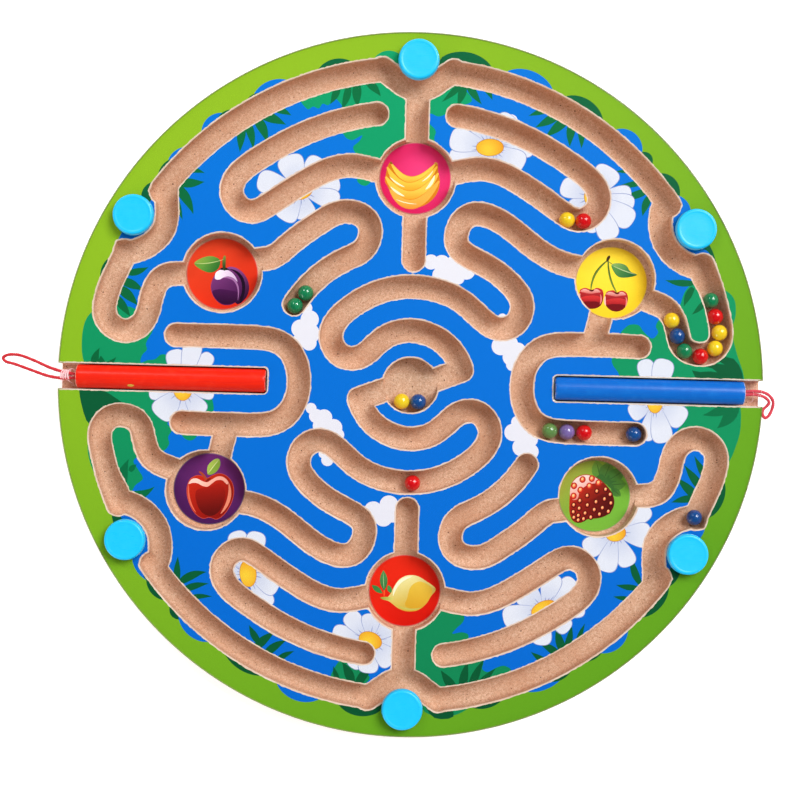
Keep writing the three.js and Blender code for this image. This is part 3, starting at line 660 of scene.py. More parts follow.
# ------------------------------------------------------------ printed picture
def smooth_loop(pts, per=5):
    p = [tuple(q) for q in pts]
    c = centripetal(p[-2:] + p + p[:2], per)
    return c[2 * per:(2 + len(p)) * per]


def blade(x0, y0, x1, y1, w, bend=0.18, n=9):
    """A leaf of grass from its foot to its tip."""
    a, b = np.array((x0, y0), float), np.array((x1, y1), float)
    d = b - a
    nrm = np.array((-d[1], d[0]))
    t = np.linspace(0, 1, n)[:, None]
    mid = (a + b) / 2 + nrm * bend
    c = (1 - t) ** 2 * a + 2 * t * (1 - t) * mid + t ** 2 * b
    tan = np.gradient(c, axis=0)
    tan /= np.hypot(tan[:, 0], tan[:, 1])[:, None]
    side = np.stack([-tan[:, 1], tan[:, 0]], 1)
    h = 0.5 * w * np.maximum(np.sin(np.pi * (0.2 + 0.8 * t)), 0.0) ** 1.1
    return np.vstack([c + side * h, (c - side * h)[::-1][1:]])


def petal(cx, cy, tx, ty, w, grow=0.0, n=17):
    """A wedge that widens from the flower's centre to a rounded end."""
    a, b = np.array((cx, cy), float), np.array((tx, ty), float)
    d = b - a
    l = math.hypot(*d)
    d /= l
    l += grow
    s = np.array((-d[1], d[0]))
    t = 1 - (1 - np.linspace(0.0, 1, n)) ** 2.0
    h = (0.5 * w + grow) * np.maximum(t, 0.02) ** 0.72 * np.maximum(1 - t ** 5.6, 0) ** 0.4 * 1.16
    c = a + d * (t * l)[:, None]
    return np.vstack([c + s * h[:, None], (c - s * h[:, None])[::-1][1:-1]])


def crescent(p0, ctrl, p1, w, n=15, sharp=0.6):
    t = np.linspace(0, 1, n)[:, None]
    c = (1 - t) ** 2 * np.array(p0, float) + 2 * t * (1 - t) * np.array(ctrl, float) + t ** 2 * np.array(p1, float)
    tan = np.gradient(c, axis=0)
    tan /= np.hypot(tan[:, 0], tan[:, 1])[:, None]
    s = np.stack([-tan[:, 1], tan[:, 0]], 1)
    h = 0.5 * w * np.maximum(np.sin(np.pi * t), 0.03) ** sharp
    return np.vstack([c + s * h, (c - s * h)[::-1]])


def leaf(x0, y0, x1, y1, w):
    return crescent((x0, y0), ((x0 + x1) / 2, (y0 + y1) / 2), (x1, y1), w, 13, 0.8)


def flat(*c):
    return lambda x, y: np.tile(np.array(rgb(*c))[None], (len(x), 1))


def fade(c0, c1, p0, p1):
    """Colour c0 at point p0 to c1 at point p1."""
    a, b = np.array(c0, float), np.array(c1, float)
    d = np.array(p1, float) - np.array(p0, float)

    def f(x, y):
        t = np.clip(((x - p0[0]) * d[0] + (y - p0[1]) * d[1]) / (d @ d), 0, 1)[:, None]
        c = a * (1 - t) + b * t
        c = np.where(c / 255 <= 0.04045, c / 255 / 12.92, ((c / 255 + 0.055) / 1.055) ** 2.4)
        return np.hstack([c, np.ones((len(x), 1))])
    return f


def radial(c0, c1, p, r):
    a, b = np.array(c0, float), np.array(c1, float)

    def f(x, y):
        t = np.clip(np.hypot(x - p[0], y - p[1]) / r, 0, 1)[:, None] ** 1.5
        c = a * (1 - t) + b * t
        c = np.where(c / 255 <= 0.04045, c / 255 / 12.92, ((c / 255 + 0.055) / 1.055) ** 2.4)
        return np.hstack([c, np.ones((len(x), 1))])
    return f


# Painted shading: the blue field, bushes, dark leaves and grass are painted lighter at the top and darker at the
# bottom, for the lamps above. The green border runs lighter at the upper left and darker at the lower right. SHADE is
# the print's deeper leaf green, not a shadow.
BLUE = fade((0, 122, 222), (0, 108, 212), (0, 130), (0, -130))
GREEN = fade((152, 194, 36), (104, 166, 30), (-90, 110), (90, -110))
EMERALD = fade((14, 164, 108), (16, 138, 86), (0, 120), (0, -120))
DARK = fade((10, 104, 62), (6, 86, 48), (0, 120), (0, -120))
GRASS = fade((8, 116, 66), (6, 92, 52), (0, 120), (0, -120))
SHADE = fade((6, 128, 78), (6, 104, 62), (0, 120), (0, -120))


def face_art():
    """(loop, colour) from the lowest layer up."""
    art = []
    # blue field with a softly waving rim
    a = np.linspace(0, 2 * math.pi, 361)[:-1]
    deg = np.degrees(a)
    side = np.minimum(np.abs((deg + 180) % 360 - 180), np.abs(deg - 180))  # angle from the slots' line
    r = np.where(side < 36, 138.4 + 2.2 * np.sin(side * 0.19 + 0.5), 138.0)
    r = r - (r - 136.2) * np.clip((14 - side) / 4, 0, 1)
    art.append((np.stack([r * np.cos(a), r * np.sin(a)], 1), BLUE))

    def bump(xa, ya, xb, yb, peak, colour):
        a0, a1 = math.atan2(ya, xa), math.atan2(yb, xb)
        if a1 - a0 > math.pi:
            a0 += 2 * math.pi
        if a0 - a1 > math.pi:
            a1 += 2 * math.pi
        t = np.linspace(0, 1, 15)
        aa = a0 + (a1 - a0) * t
        rr = 137.0 + (peak - 137.0) * np.sin(np.pi * t) ** 0.5
        outer = np.stack([rr * np.cos(aa), rr * np.sin(aa)], 1)
        inner = np.stack([135.5 * np.cos(aa), 135.5 * np.sin(aa)], 1)[::-1]
        art.append((np.vstack([outer, inner]), colour))

    for b in [(-44, 132, -27, 136, 142.4, DARK), (-71, 119, -54, 128, 142.6, BLUE), (-74, 118, -65, 122, 140.6, DARK),
              (-92, 104, -80, 113, 142.6, BLUE), (-86, 109, -77, 115, 140.8, DARK), (-105, 88, -97, 99, 141.3, BLUE),
              (-110, 84, -102, 95, 141.0, DARK), (-117, 75, -110, 84, 141.0, DARK), (-126, 52, -119, 66, 138.9, BLUE),
              (-134, 40, -129, 52, 140.6, DARK), (-20, 137, -6, 139, 142.5, EMERALD),
              (8, 138, 32, 135, 143.6, DARK), (36, 133, 58, 126, 143.2, BLUE), (62, 125, 79, 113, 143.0, DARK),
              (83, 110, 96, 100, 143.4, BLUE), (94, 101, 100, 95, 141.6, DARK), (103, 93, 113, 82, 142.6, DARK),
              (110, 84, 118, 74, 141.2, BLUE), (118, 68, 131, 50, 140.6, DARK), (125, 62, 129, 52, 139.3, BLUE)]:
        bump(*b)
    for b in [(-126, -57, -118, -68, 139.6, DARK), (-116, -74, -108, -88, 141.0, BLUE), (-112, -85, -101, -95, 141.6, DARK),
              (-100, -96, -93, -102, 141.6, DARK), (-97, -100, -82, -112, 142.4, BLUE), (-77, -115, -58, -125, 141.4, DARK),
              (-54, -127, -34, -134, 143.0, BLUE), (-28, -135, -8, -138, 142.8, DARK),
              (8, -138, 30, -135, 142.2, EMERALD), (27, -135, 44, -131, 141.6, DARK), (50, -128, 70, -119, 142.0, BLUE),
              (60, -124, 72, -117, 141.2, DARK), (75, -116, 86, -108, 140.8, DARK), (82, -112, 95, -100, 143.0, BLUE),
              (99, -97, 112, -81, 142.6, DARK), (109, -84, 118, -74, 140.6, DARK), (120, -64, 127, -54, 139.8, BLUE),
              (127, -54, 136, -36, 142.2, DARK)]:
        bump(*b)
    foliage = [
        [(-52, 124), (-50, 119.5), (-48, 117), (-46.5, 116), (-44.5, 117.2), (-42, 116.5), (-40.5, 118.5), (-38, 118), (-35.5, 121), (-30, 113), (-33.5, 107.5), (-31.5, 106), (-30, 104.2), (-27.5, 103.4), (-23.3, 105.5), (-24.5, 103), (-27, 100.5), (-26, 98), (-23, 96), (-14, 90), (2, 92), (3, 112), (1, 126), (-20, 131)],
        [(2, 128), (3, 116), (6, 115.5), (9, 114.4), (13, 116), (17, 119.3), (21, 120), (23, 121.5), (22, 124), (20, 126), (18, 131)],
        [(3, 112), (6, 110.5), (8, 108), (7.4, 105), (8.4, 101), (3, 97)],
        [(-24, 88), (-25, 86.4), (-23.5, 84.6), (-21, 84.2), (-19, 86.3), (-19.4, 88)],
        [(-137, 3), (-140.3, 16), (-136.8, 27), (-120, 30), (-110, 22), (-113, 14.5), (-112.5, 12), (-114.5, 9.5), (-115, 6.4), (-112, 7.5), (-109, 8), (-106.5, 10), (-103.5, 9.8), (-101, 8), (-101, 3)],
        [(-138, -3), (-86, -3), (-84, -9), (-83.5, -13), (-86, -17), (-95, -16), (-103, -19), (-101, -22), (-102.5, -25), (-102, -28), (-104.5, -31), (-108, -30), (-112, -32), (-117, -35.5), (-115, -39), (-112.8, -43), (-116, -46), (-119, -51), (-126, -48), (-133, -42), (-136.4, -33), (-136.5, -28), (-134, -20)],
        [(-97, -22), (-96, -25), (-93, -26.3), (-90.5, -24.6), (-90, -21)],
        [(92, 3), (89, 6), (88, 7.8), (86, 10.4), (85.4, 13), (88, 15.5), (101, 15), (101, 22), (89, 24), (91, 26.8), (93, 28), (96.5, 27.8), (98.5, 25.3), (102.5, 22.3), (104.8, 25), (103.8, 27.5), (105.2, 30.3), (108, 30.8), (113, 35), (116, 43), (120.5, 47), (126, 44), (133, 43.5), (136.8, 40), (137.6, 33), (136.2, 27), (138.5, 17), (141.6, 8), (141.6, 3)],
        [(116, -3), (117, -9), (115, -15), (113, -19), (122, -16), (130, -18), (134, -25), (136, -29.5), (139.4, -22), (141, -14), (139, -3)],
        [(3, -106), (10, -100), (16, -95.5), (20, -95.2), (25.5, -98), (24.8, -100.7), (22.5, -103), (20.6, -105.5), (24.8, -104.8), (27.4, -105.8), (27, -108.4), (20, -111), (34, -116.5), (33.8, -120.3), (36, -121.4), (39.5, -119.6), (43, -118.6), (46, -120.3), (44.6, -123.3), (40, -129), (30, -132), (18, -131), (3, -124)],
        [(-31, -128), (-26, -117.5), (-20.5, -121), (-14, -125), (-18, -129)],
    ]
    for f in foliage:
        art.append((smooth_loop(f), EMERALD))
    # darker leaves that lie over the bushes
    art.append((np.array([(118.6, 2), (117.4, 5.4), (121.5, 5.6), (119.6, 9.2), (123.2, 8.6), (127.6, 9.0), (130.4, 8.6), (128.4, 10.2), (124.4, 11.2), (127.6, 12.6), (133.4, 12.0), (130.6, 13.6), (129.4, 15.2), (133.6, 15.4), (137.2, 14.6), (139.6, 12.0), (141.2, 8.4), (141.6, 5), (141.6, 2)], float), DARK))
    for f in [[(-140.4, -3), (-131, -5.8), (-126, -8.5), (-121, -12.5), (-131, -14), (-136, -20.5), (-139.8, -12)],
              [(10, -136), (14, -141.6), (22, -140.8), (20, -136)]]:
        art.append((smooth_loop(f, 3), DARK))
    grass = [
        # x foot, y foot, x tip, y tip, width, bend
        (-74.5, 110, -75.2, 97, 3.8, 0), (-73.5, 111.5, -69.5, 98.2, 3.6, .12), (-69.5, 112.5, -63.6, 101.2, 4.2, .15), (-67.5, 113.5, -55.8, 109.2, 4.2, .06), (-62.5, 116.4, -53.6, 113.2, 3.2, .1),
        (-99.5, 89, -89.8, 87.7, 2.6, .12), (-99, 91.8, -93.5, 91.4, 1.2, .1), (-101.5, 83.5, -89.8, 84, 4.0, -.07), (-102.5, 82.5, -94.2, 70, 4.2, .13), (-104, 79.5, -98.8, 67.6, 3.2, .03),
        (-122, 44.3, -112.8, 47.1, 3.0, -.12), (-124.5, 41.2, -114.6, 37.0, 3.9, .08), (-125.5, 38.3, -116.9, 30.6, 4.2, .08), (-127.2, 34.6, -120, 25.8, 3.7, .06), (-128, 30, -125, 26.4, 2.2, .1),
        (-34, 127, -37.3, 118.4, 3.2, .1), (-29.5, 127, -32.5, 116, 3.2, .1), (-26, 128, -25.5, 117.3, 4.0, -.05), (-22.5, 129, -15.8, 122.3, 3.4, .1),
        (19.2, 129.6, 10.2, 120.6, 2.8, .05), (19.4, 129.6, 16.8, 118.8, 3.6, .1), (21, 129.6, 27.3, 120, 3.4, -.09), (27.6, 128.4, 31.7, 122, 2.6, .12),
        (58, 120, 47.2, 115.7, 3.0, .02), (61.4, 117.6, 50.2, 110.8, 3.9, .04), (64.4, 115.8, 54.6, 106.8, 4.2, .03), (66.4, 114.4, 65.2, 103, 3.8, -.08), (69.2, 112.3, 70.1, 102.4, 2.9, .08),
        (94.5, 93.6, 84.3, 93, 1.8, .03), (98, 89.2, 84.8, 86.3, 2.6, .04), (99.6, 86, 85.7, 81.4, 3.3, .12), (99.8, 83, 96.9, 74.2, 3.2, -.1),
        (119.6, 46.4, 107.2, 47.3, 2.9, .1), (119.2, 44.4, 115.5, 36.3, 3.0, -.08), (124.6, 39, 119, 33, 2.4, .1),
        (-97, -87, -97, -75.7, 2.9, .04), (-96, -87, -84.6, -82, 3.6, .17), (-95, -90.3, -83.6, -86.9, 3.0, .1), (-92, -93.2, -82, -92.4, 2.2, .08),
        (-61.6, -111.6, -66, -104.1, 3.0, .05), (-63.6, -114.6, -54.8, -106.6, 3.7, .08), (-59.2, -117, -49.8, -110.1, 3.5, .12), (-54, -119, -46.4, -114.7, 2.4, .1),
        (-27.2, -127.4, -29.7, -120.6, 2.2, .05), (-21.4, -128, -26, -118.8, 3.9, -.1), (-19.8, -129.6, -11.5, -118.4, 3.7, .12),
        (23, -130.2, 16.1, -121.2, 3.9, .03), (25.4, -130.6, 27.6, -116.8, 3.8, .06), (28.6, -130.6, 34.5, -116, 3.5, .08), (31, -129.6, 39.5, -119.8, 2.9, .06),
        (67, -114.6, 56.8, -108.2, 3.3, -.14), (68.8, -113.6, 64.8, -101, 3.7, .08), (68.8, -112.8, 71.3, -100.4, 3.1, -.07), (73.6, -109.6, 77, -99.6, 2.2, .05), (62, -117.2, 54.2, -112.4, 2.7, .05),
        (100, -82.2, 96, -70.5, 3.2, .13), (99.2, -84, 89.7, -83, 2.6, .06), (96, -88.7, 88.7, -87.9, 2.0, .06),
        (128.6, -39, 121.6, -27.2, 3.2, .03), (126.2, -42.3, 117.5, -31.2, 3.7, .02), (124.2, -45.6, 114.3, -36.5, 3.9, .02), (123.2, -45.4, 112.3, -47.3, 3.2, -.1),
        (-111, -84, -103.5, -91, 3.0, .1), (103, 8.2, 97, 10.4, 1.4, .1),
    ]
    for g in grass:
        art.append((blade(*g), GRASS))
    for g in [(140, -3.4, 124.6, -9.8, 4.8, .12), (138.6, -3.6, 130.9, -15.2, 5.6, .2), (-134.5, 3, -132.6, 12.2, 3.4, .2), (-131, 4, -132, 9, 3.0, .1), (-133, 3.6, -125.4, 8.6, 2.6, -.2),
              (-122, -50, -119, -34.8, 5.0, .15), (-122.5, -47, -121.8, -38, 3.2, .1), (-123, -50, -107.6, -46.2, 4.4, -.28), (-124, -51, -108.6, -52.3, 3.4, -.16), (-118.5, -40, -115.6, -37, 2.4, .1),
              ]:
        art.append((blade(*g), SHADE if g[0] > 0 or g[1] < -30 else GRASS))
    # Painted shading: the clouds are a touch lighter at the top than at the bottom, like the fields.
    cloud = fade((240, 236, 244), (236, 232, 242), (0, 60), (0, -60))
    for x, y, rr in [(-45.2, 31.4, 2.6), (-43.6, 26.6, 3.9), (-47.4, 22.6, 3.9), (-43.8, 20.6, 4.6), (-47.6, 17.6, 3.0), (-43.6, 16.6, 3.2),
                     (7.4, 52.4, 3.2), (12, 51.8, 3.7), (12, 46.8, 3.9), (17.4, 48.6, 4.9), (17, 52, 3.3), (22.6, 49, 3.7), (19, 46, 2.9), (4, 52.2, 1.9),
                     (38, 17.4, 3.9), (42, 18.6, 3.3), (45.3, 15.6, 3.5), (43, 13, 4.1), (43.2, 9.6, 2.7), (38.4, 29.4, 1.9),
                     (-42, -11.2, 2.3), (-39.8, -14.4, 3.0), (-36.4, -15, 3.5), (-37.4, -18.6, 3.7), (-32.2, -19.2, 3.7), (-30.2, -22.2, 2.6), (-34.5, -33, 2.6), (-36.4, -30.4, 1.9),
                     (-7.8, -51.4, 4.0), (-14.4, -54, 3.9), (-6, -55, 3.9), (-10, -56.8, 3.9), (-15.4, -56, 2.3),
                     (46, -14.8, 2.7), (44.2, -19.2, 3.7), (49, -19.2, 4.1), (48, -25.4, 3.9), (51.8, -27.2, 3.5), (51.8, -22, 3.1),
                     (40, 113.4, 2.7), (42.6, 112.4, 1.5)]:
        art.append((circle(x, y, rr, 26), cloud))
    daisies = [
        # centre, (rx, ry, turn), petals as (x tip, y tip, width)
        ((-49, 81.3), (5.2, 3.6, 0.3), [(-66.5, 76.4, 8), (-32.4, 85.2, 9.5), (-32.4, 77.2, 10), (-46, 69.4, 10.5), (-56.4, 68.8, 12), (-40.8, 95.4, 11), (-67.2, 85.6, 11.5), (-54.6, 96.2, 13)]),
        ((31.2, 101.8), (5.7, 3.5, 0.05), [(25, 112.6, 9), (33, 113.6, 8), (39.6, 116, 10), (48, 107.6, 9), (49.9, 101.4, 8.5), (28, 93.6, 12), (37, 92.6, 9), (14.4, 96.4, 9), (45.8, 94.6, 11.5), (14.3, 105.6, 12)]),
        ((75.7, 82), (3.7, 4.4, 0), [(91.8, 84.2, 8), (93.2, 79.6, 8), (75.3, 66.6, 6.5), (66.6, 75.8, 9.5), (62, 86.6, 10), (92.8, 71.6, 11.5), (84, 64.0, 11), (83, 94.6, 13)]),
        ((-96.8, -4.2), (3.9, 5.0, 0), [(-83.6, -6.8, 5.5), (-111, -7.4, 6), (-97, -17.2, 8), (-88.2, -14.8, 9.5), (-101.1, 12.2, 9.6), (-85.2, 10.8, 7.6), (-92.3, 17, 9.6), (-107, -16.4, 12.5)]),
        ((104.3, -4.2), (3.3, 5.1, 0), [(117.6, -5.0, 4), (93.4, 5.6, 3), (115.2, 5.6, 3.4), (93.8, -10.4, 9), (100.6, -21.2, 8), (99, 13.2, 8.6), (117, -12.6, 11.5), (108.4, -21.9, 10.5), (108.2, 13.6, 10.6)]),
        ((-67, -82.2), (3.4, 5.6, 0.12), [(-80.6, -72.8, 8), (-78, -82, 9), (-55, -79, 8), (-57.6, -96.2, 9), (-72.8, -64.4, 10), (-54.2, -88.4, 10), (-63.4, -64.4, 10)]),
        ((-14.2, -109.3), (4.9, 3.4, -0.35), [(-2.2, -109.6, 8.4), (-22, -121, 8), (-15, -123.2, 10), (-30.2, -105.6, 8), (-4.4, -118.8, 11), (-24.2, -98, 9), (-5, -101.8, 9.6), (-14.2, -97.9, 9.4)]),
        ((59.4, -94), (5.6, 3.2, 0.42), [(76.8, -94.2, 7.6), (70.2, -102.6, 9), (58.4, -109.4, 10), (49.6, -86.4, 12.5), (42.2, -98.8, 11.5), (72, -81.4, 9.5), (63, -79, 10.4)]),
        ((89, -61), (4.2, 3.3, 0.2), [(102.8, -49.4, 10), (95.2, -74.8, 9.4), (76, -68.8, 10.4), (84.8, -77.4, 10.4), (103.8, -61.6, 12.4)]),
    ]
    vein = flat(150, 160, 206)
    for (cx, cy), (rx, ry, rot), tips in daisies:
        for j, (tx, ty, w) in enumerate(tips):
            art.append((petal(cx, cy, tx, ty, w, 0.16), flat(146, 156, 204)))
            art.append((petal(cx, cy, tx, ty, w - 0.35), radial((206, 210, 232), (232, 232, 243), (cx, cy), 12.0)))
        for j, (tx, ty, w) in enumerate(tips):
            ang = math.atan2(ty - cy, tx - cx)
            for m in (-0.16, 0.13):
                q, l = ang + m + 0.03 * math.sin(3 * j), 2.6 + 1.1 * math.sin(5 * j + 9 * m)
                r0 = 0.8 * (rx * ry / math.hypot(rx * math.sin(q - rot), ry * math.cos(q - rot)))
                art.append((blade(cx + r0 * math.cos(q), cy + r0 * math.sin(q), cx + (r0 + l) * math.cos(q), cy + (r0 + l) * math.sin(q), 0.42, 0.05, 5), vein))
        art.append((circle(cx, cy, rx + 0.25, 40, ry + 0.25, rot), flat(204, 132, 48)))
        art.append((circle(cx, cy, rx, 40, ry, rot), radial((252, 210, 60), (242, 154, 34), (cx - 1, cy - 1), max(rx, ry) + 1.6)))
    return art


def flood(plan, art):
    """The topmost shape that holds each triangle."""
    index = {}
    for k, (loop, _) in enumerate(art):
        before = len(plan.f)
        plan.add(np.asarray(loop, float), "art")
        if len(plan.f) > before:
            index[before] = k
    plan.run()
    return np.array([max((index[k] for k in o if k in index), default=-1) for o in plan.inside])


def paint_faces(ob, colours):
    att = ob.data.color_attributes.new("Art", "FLOAT_COLOR", "CORNER")
    att.data.foreach_set("color", np.asarray(colours, np.float32).ravel())


def shade_triangles(V, T, top, art, base):
    """Corner colours of each triangle, by the shape on top."""
    out = np.zeros((len(T), 3, 4))
    for k in np.unique(top):
        sel = top == k
        p = V[T[sel]].reshape(-1, 2)
        f = base if k < 0 else art[k][1]
        out[sel] = f(p[:, 0], p[:, 1]).reshape(-1, 3, 4)
    return out


def build_sheet():
    cut = groove.copy()
    for x, y in POCKETS:
        cut = np.maximum(cut, POCKET_R - np.hypot(GX - x, GY - y))
    cut = np.maximum(cut, CENTRE_R - np.hypot(GX, GY + 0.3))
    for side in (1, -1):
        qx, qy = (SLOT_IN + 1.6) - side * GX, np.abs(GY) - (SLOT_HALF - 1.6)
        cut = np.maximum(cut, 1.6 - np.hypot(np.maximum(qx, 0), np.maximum(qy, 0)) - np.minimum(np.maximum(qx, qy), 0))
    cut[[0, -1], :] = cut[:, [0, -1]] = -9.0  # closes the slots' outlines off the board
    frayed = cut + (cut > -8) * 0.34 * (value_noise(GX * 0.9, GY * 0.9, 3) - 0.5) + (cut > -8) * 0.22 * (value_noise(GX * 1.9, GY * 1.9, 5) - 0.5)
    art = face_art()
    plan = Plan()
    plan.add(circle(0, 0, SHEET_R, 400), "rim")
    for x, y in CAPS:
        plan.add(circle(x, y, 2.4, 16), "screw")
    for loop in contours(cut, -0.06):
        plan.add(thin_loop(loop, 0.02), "hole", -0.06, True)
    for loop in contours(cut, -0.34):
        plan.add(thin_loop(loop, 0.03), "lip", -0.34, True)
    for loop in contours(frayed, -0.62):
        plan.add(thin_loop(loop, 0.04), "fringe", None, True)
    rng = np.random.default_rng(11)
    gx, gy = np.meshgrid(np.arange(-146, 147, 4.0), np.arange(-146, 147, 4.0))
    pts = np.stack([gx.ravel(), gy.ravel()], 1) + rng.uniform(-0.8, 0.8, (gx.size, 2))
    pts = pts[np.hypot(pts[:, 0], pts[:, 1]) < 147]
    plan.points(pts[groove_at(pts[:, 0], pts[:, 1]) < -1.2])
    top = flood(plan, art)
    n = {k: plan.count({k}) for k in ("rim", "screw", "hole", "fringe")}
    keep = (n["rim"] > 0) & (n["screw"] <= 0) & (n["hole"] <= 0)
    T, top, fringe = plan.T[keep], top[keep], n["fringe"][keep] > 0
    V = plan.V
    low = np.array([t == -0.06 for t in plan.vtag])
    z = np.where(low, TOP_Z - 0.19, TOP_Z)
    z = z + 0.05 * (value_noise(V[:, 0] * 1.3, V[:, 1] * 1.3, 8) - 0.5) * np.where(np.array([t == -0.34 for t in plan.vtag]), 1, 0)
    used = np.unique(T)
    remap = -np.ones(len(V), int)
    remap[used] = np.arange(len(used))
    n_top = len(used)
    verts = np.vstack([np.column_stack([V[used], z[used]]), np.column_stack([V[used], np.full(n_top, BOARD_T + 0.01)])])
    Tt = remap[T]
    colours = shade_triangles(V, T, top, art, GREEN)
    # paper core shows along every cut
    p = V[T[fringe]].reshape(-1, 2)
    m = value_noise(p[:, 0] * 1.7, p[:, 1] * 1.7, 2)[:, None]
    core = np.array(rgb(246, 226, 210)) * m + np.array(rgb(226, 186, 160)) * (1 - m)
    colours[fringe] = core.reshape(-1, 3, 4)
    edges = set()
    for a, b, c in Tt.tolist():
        edges.update(((a, b), (b, c), (c, a)))
    skirt = [(a, a + n_top, b + n_top, b) for a, b in edges if (b, a) not in edges]
    faces = Tt.tolist() + (Tt[:, ::-1] + n_top).tolist() + [list(q) for q in skirt]
    me = bpy.data.meshes.new("printed_face")
    me.from_pydata((verts * MM).tolist(), [], faces)
    cream = np.array(rgb(226, 190, 164))
    paint = np.vstack([colours.reshape(-1, 4), np.tile(cream, (3 * len(Tt) + 4 * len(skirt), 1))])
    ob = bpy.data.objects.new("printed_face", me)
    bpy.context.scene.collection.objects.link(ob)
    me.update()
    me.polygons.foreach_set("use_smooth", [True] * len(me.polygons))
    me.set_sharp_from_angle(angle=math.radians(50))
    paint_faces(ob, paint)
    return done(ob, "board", "printed_paper", PRINT, "printed_face_sheet")


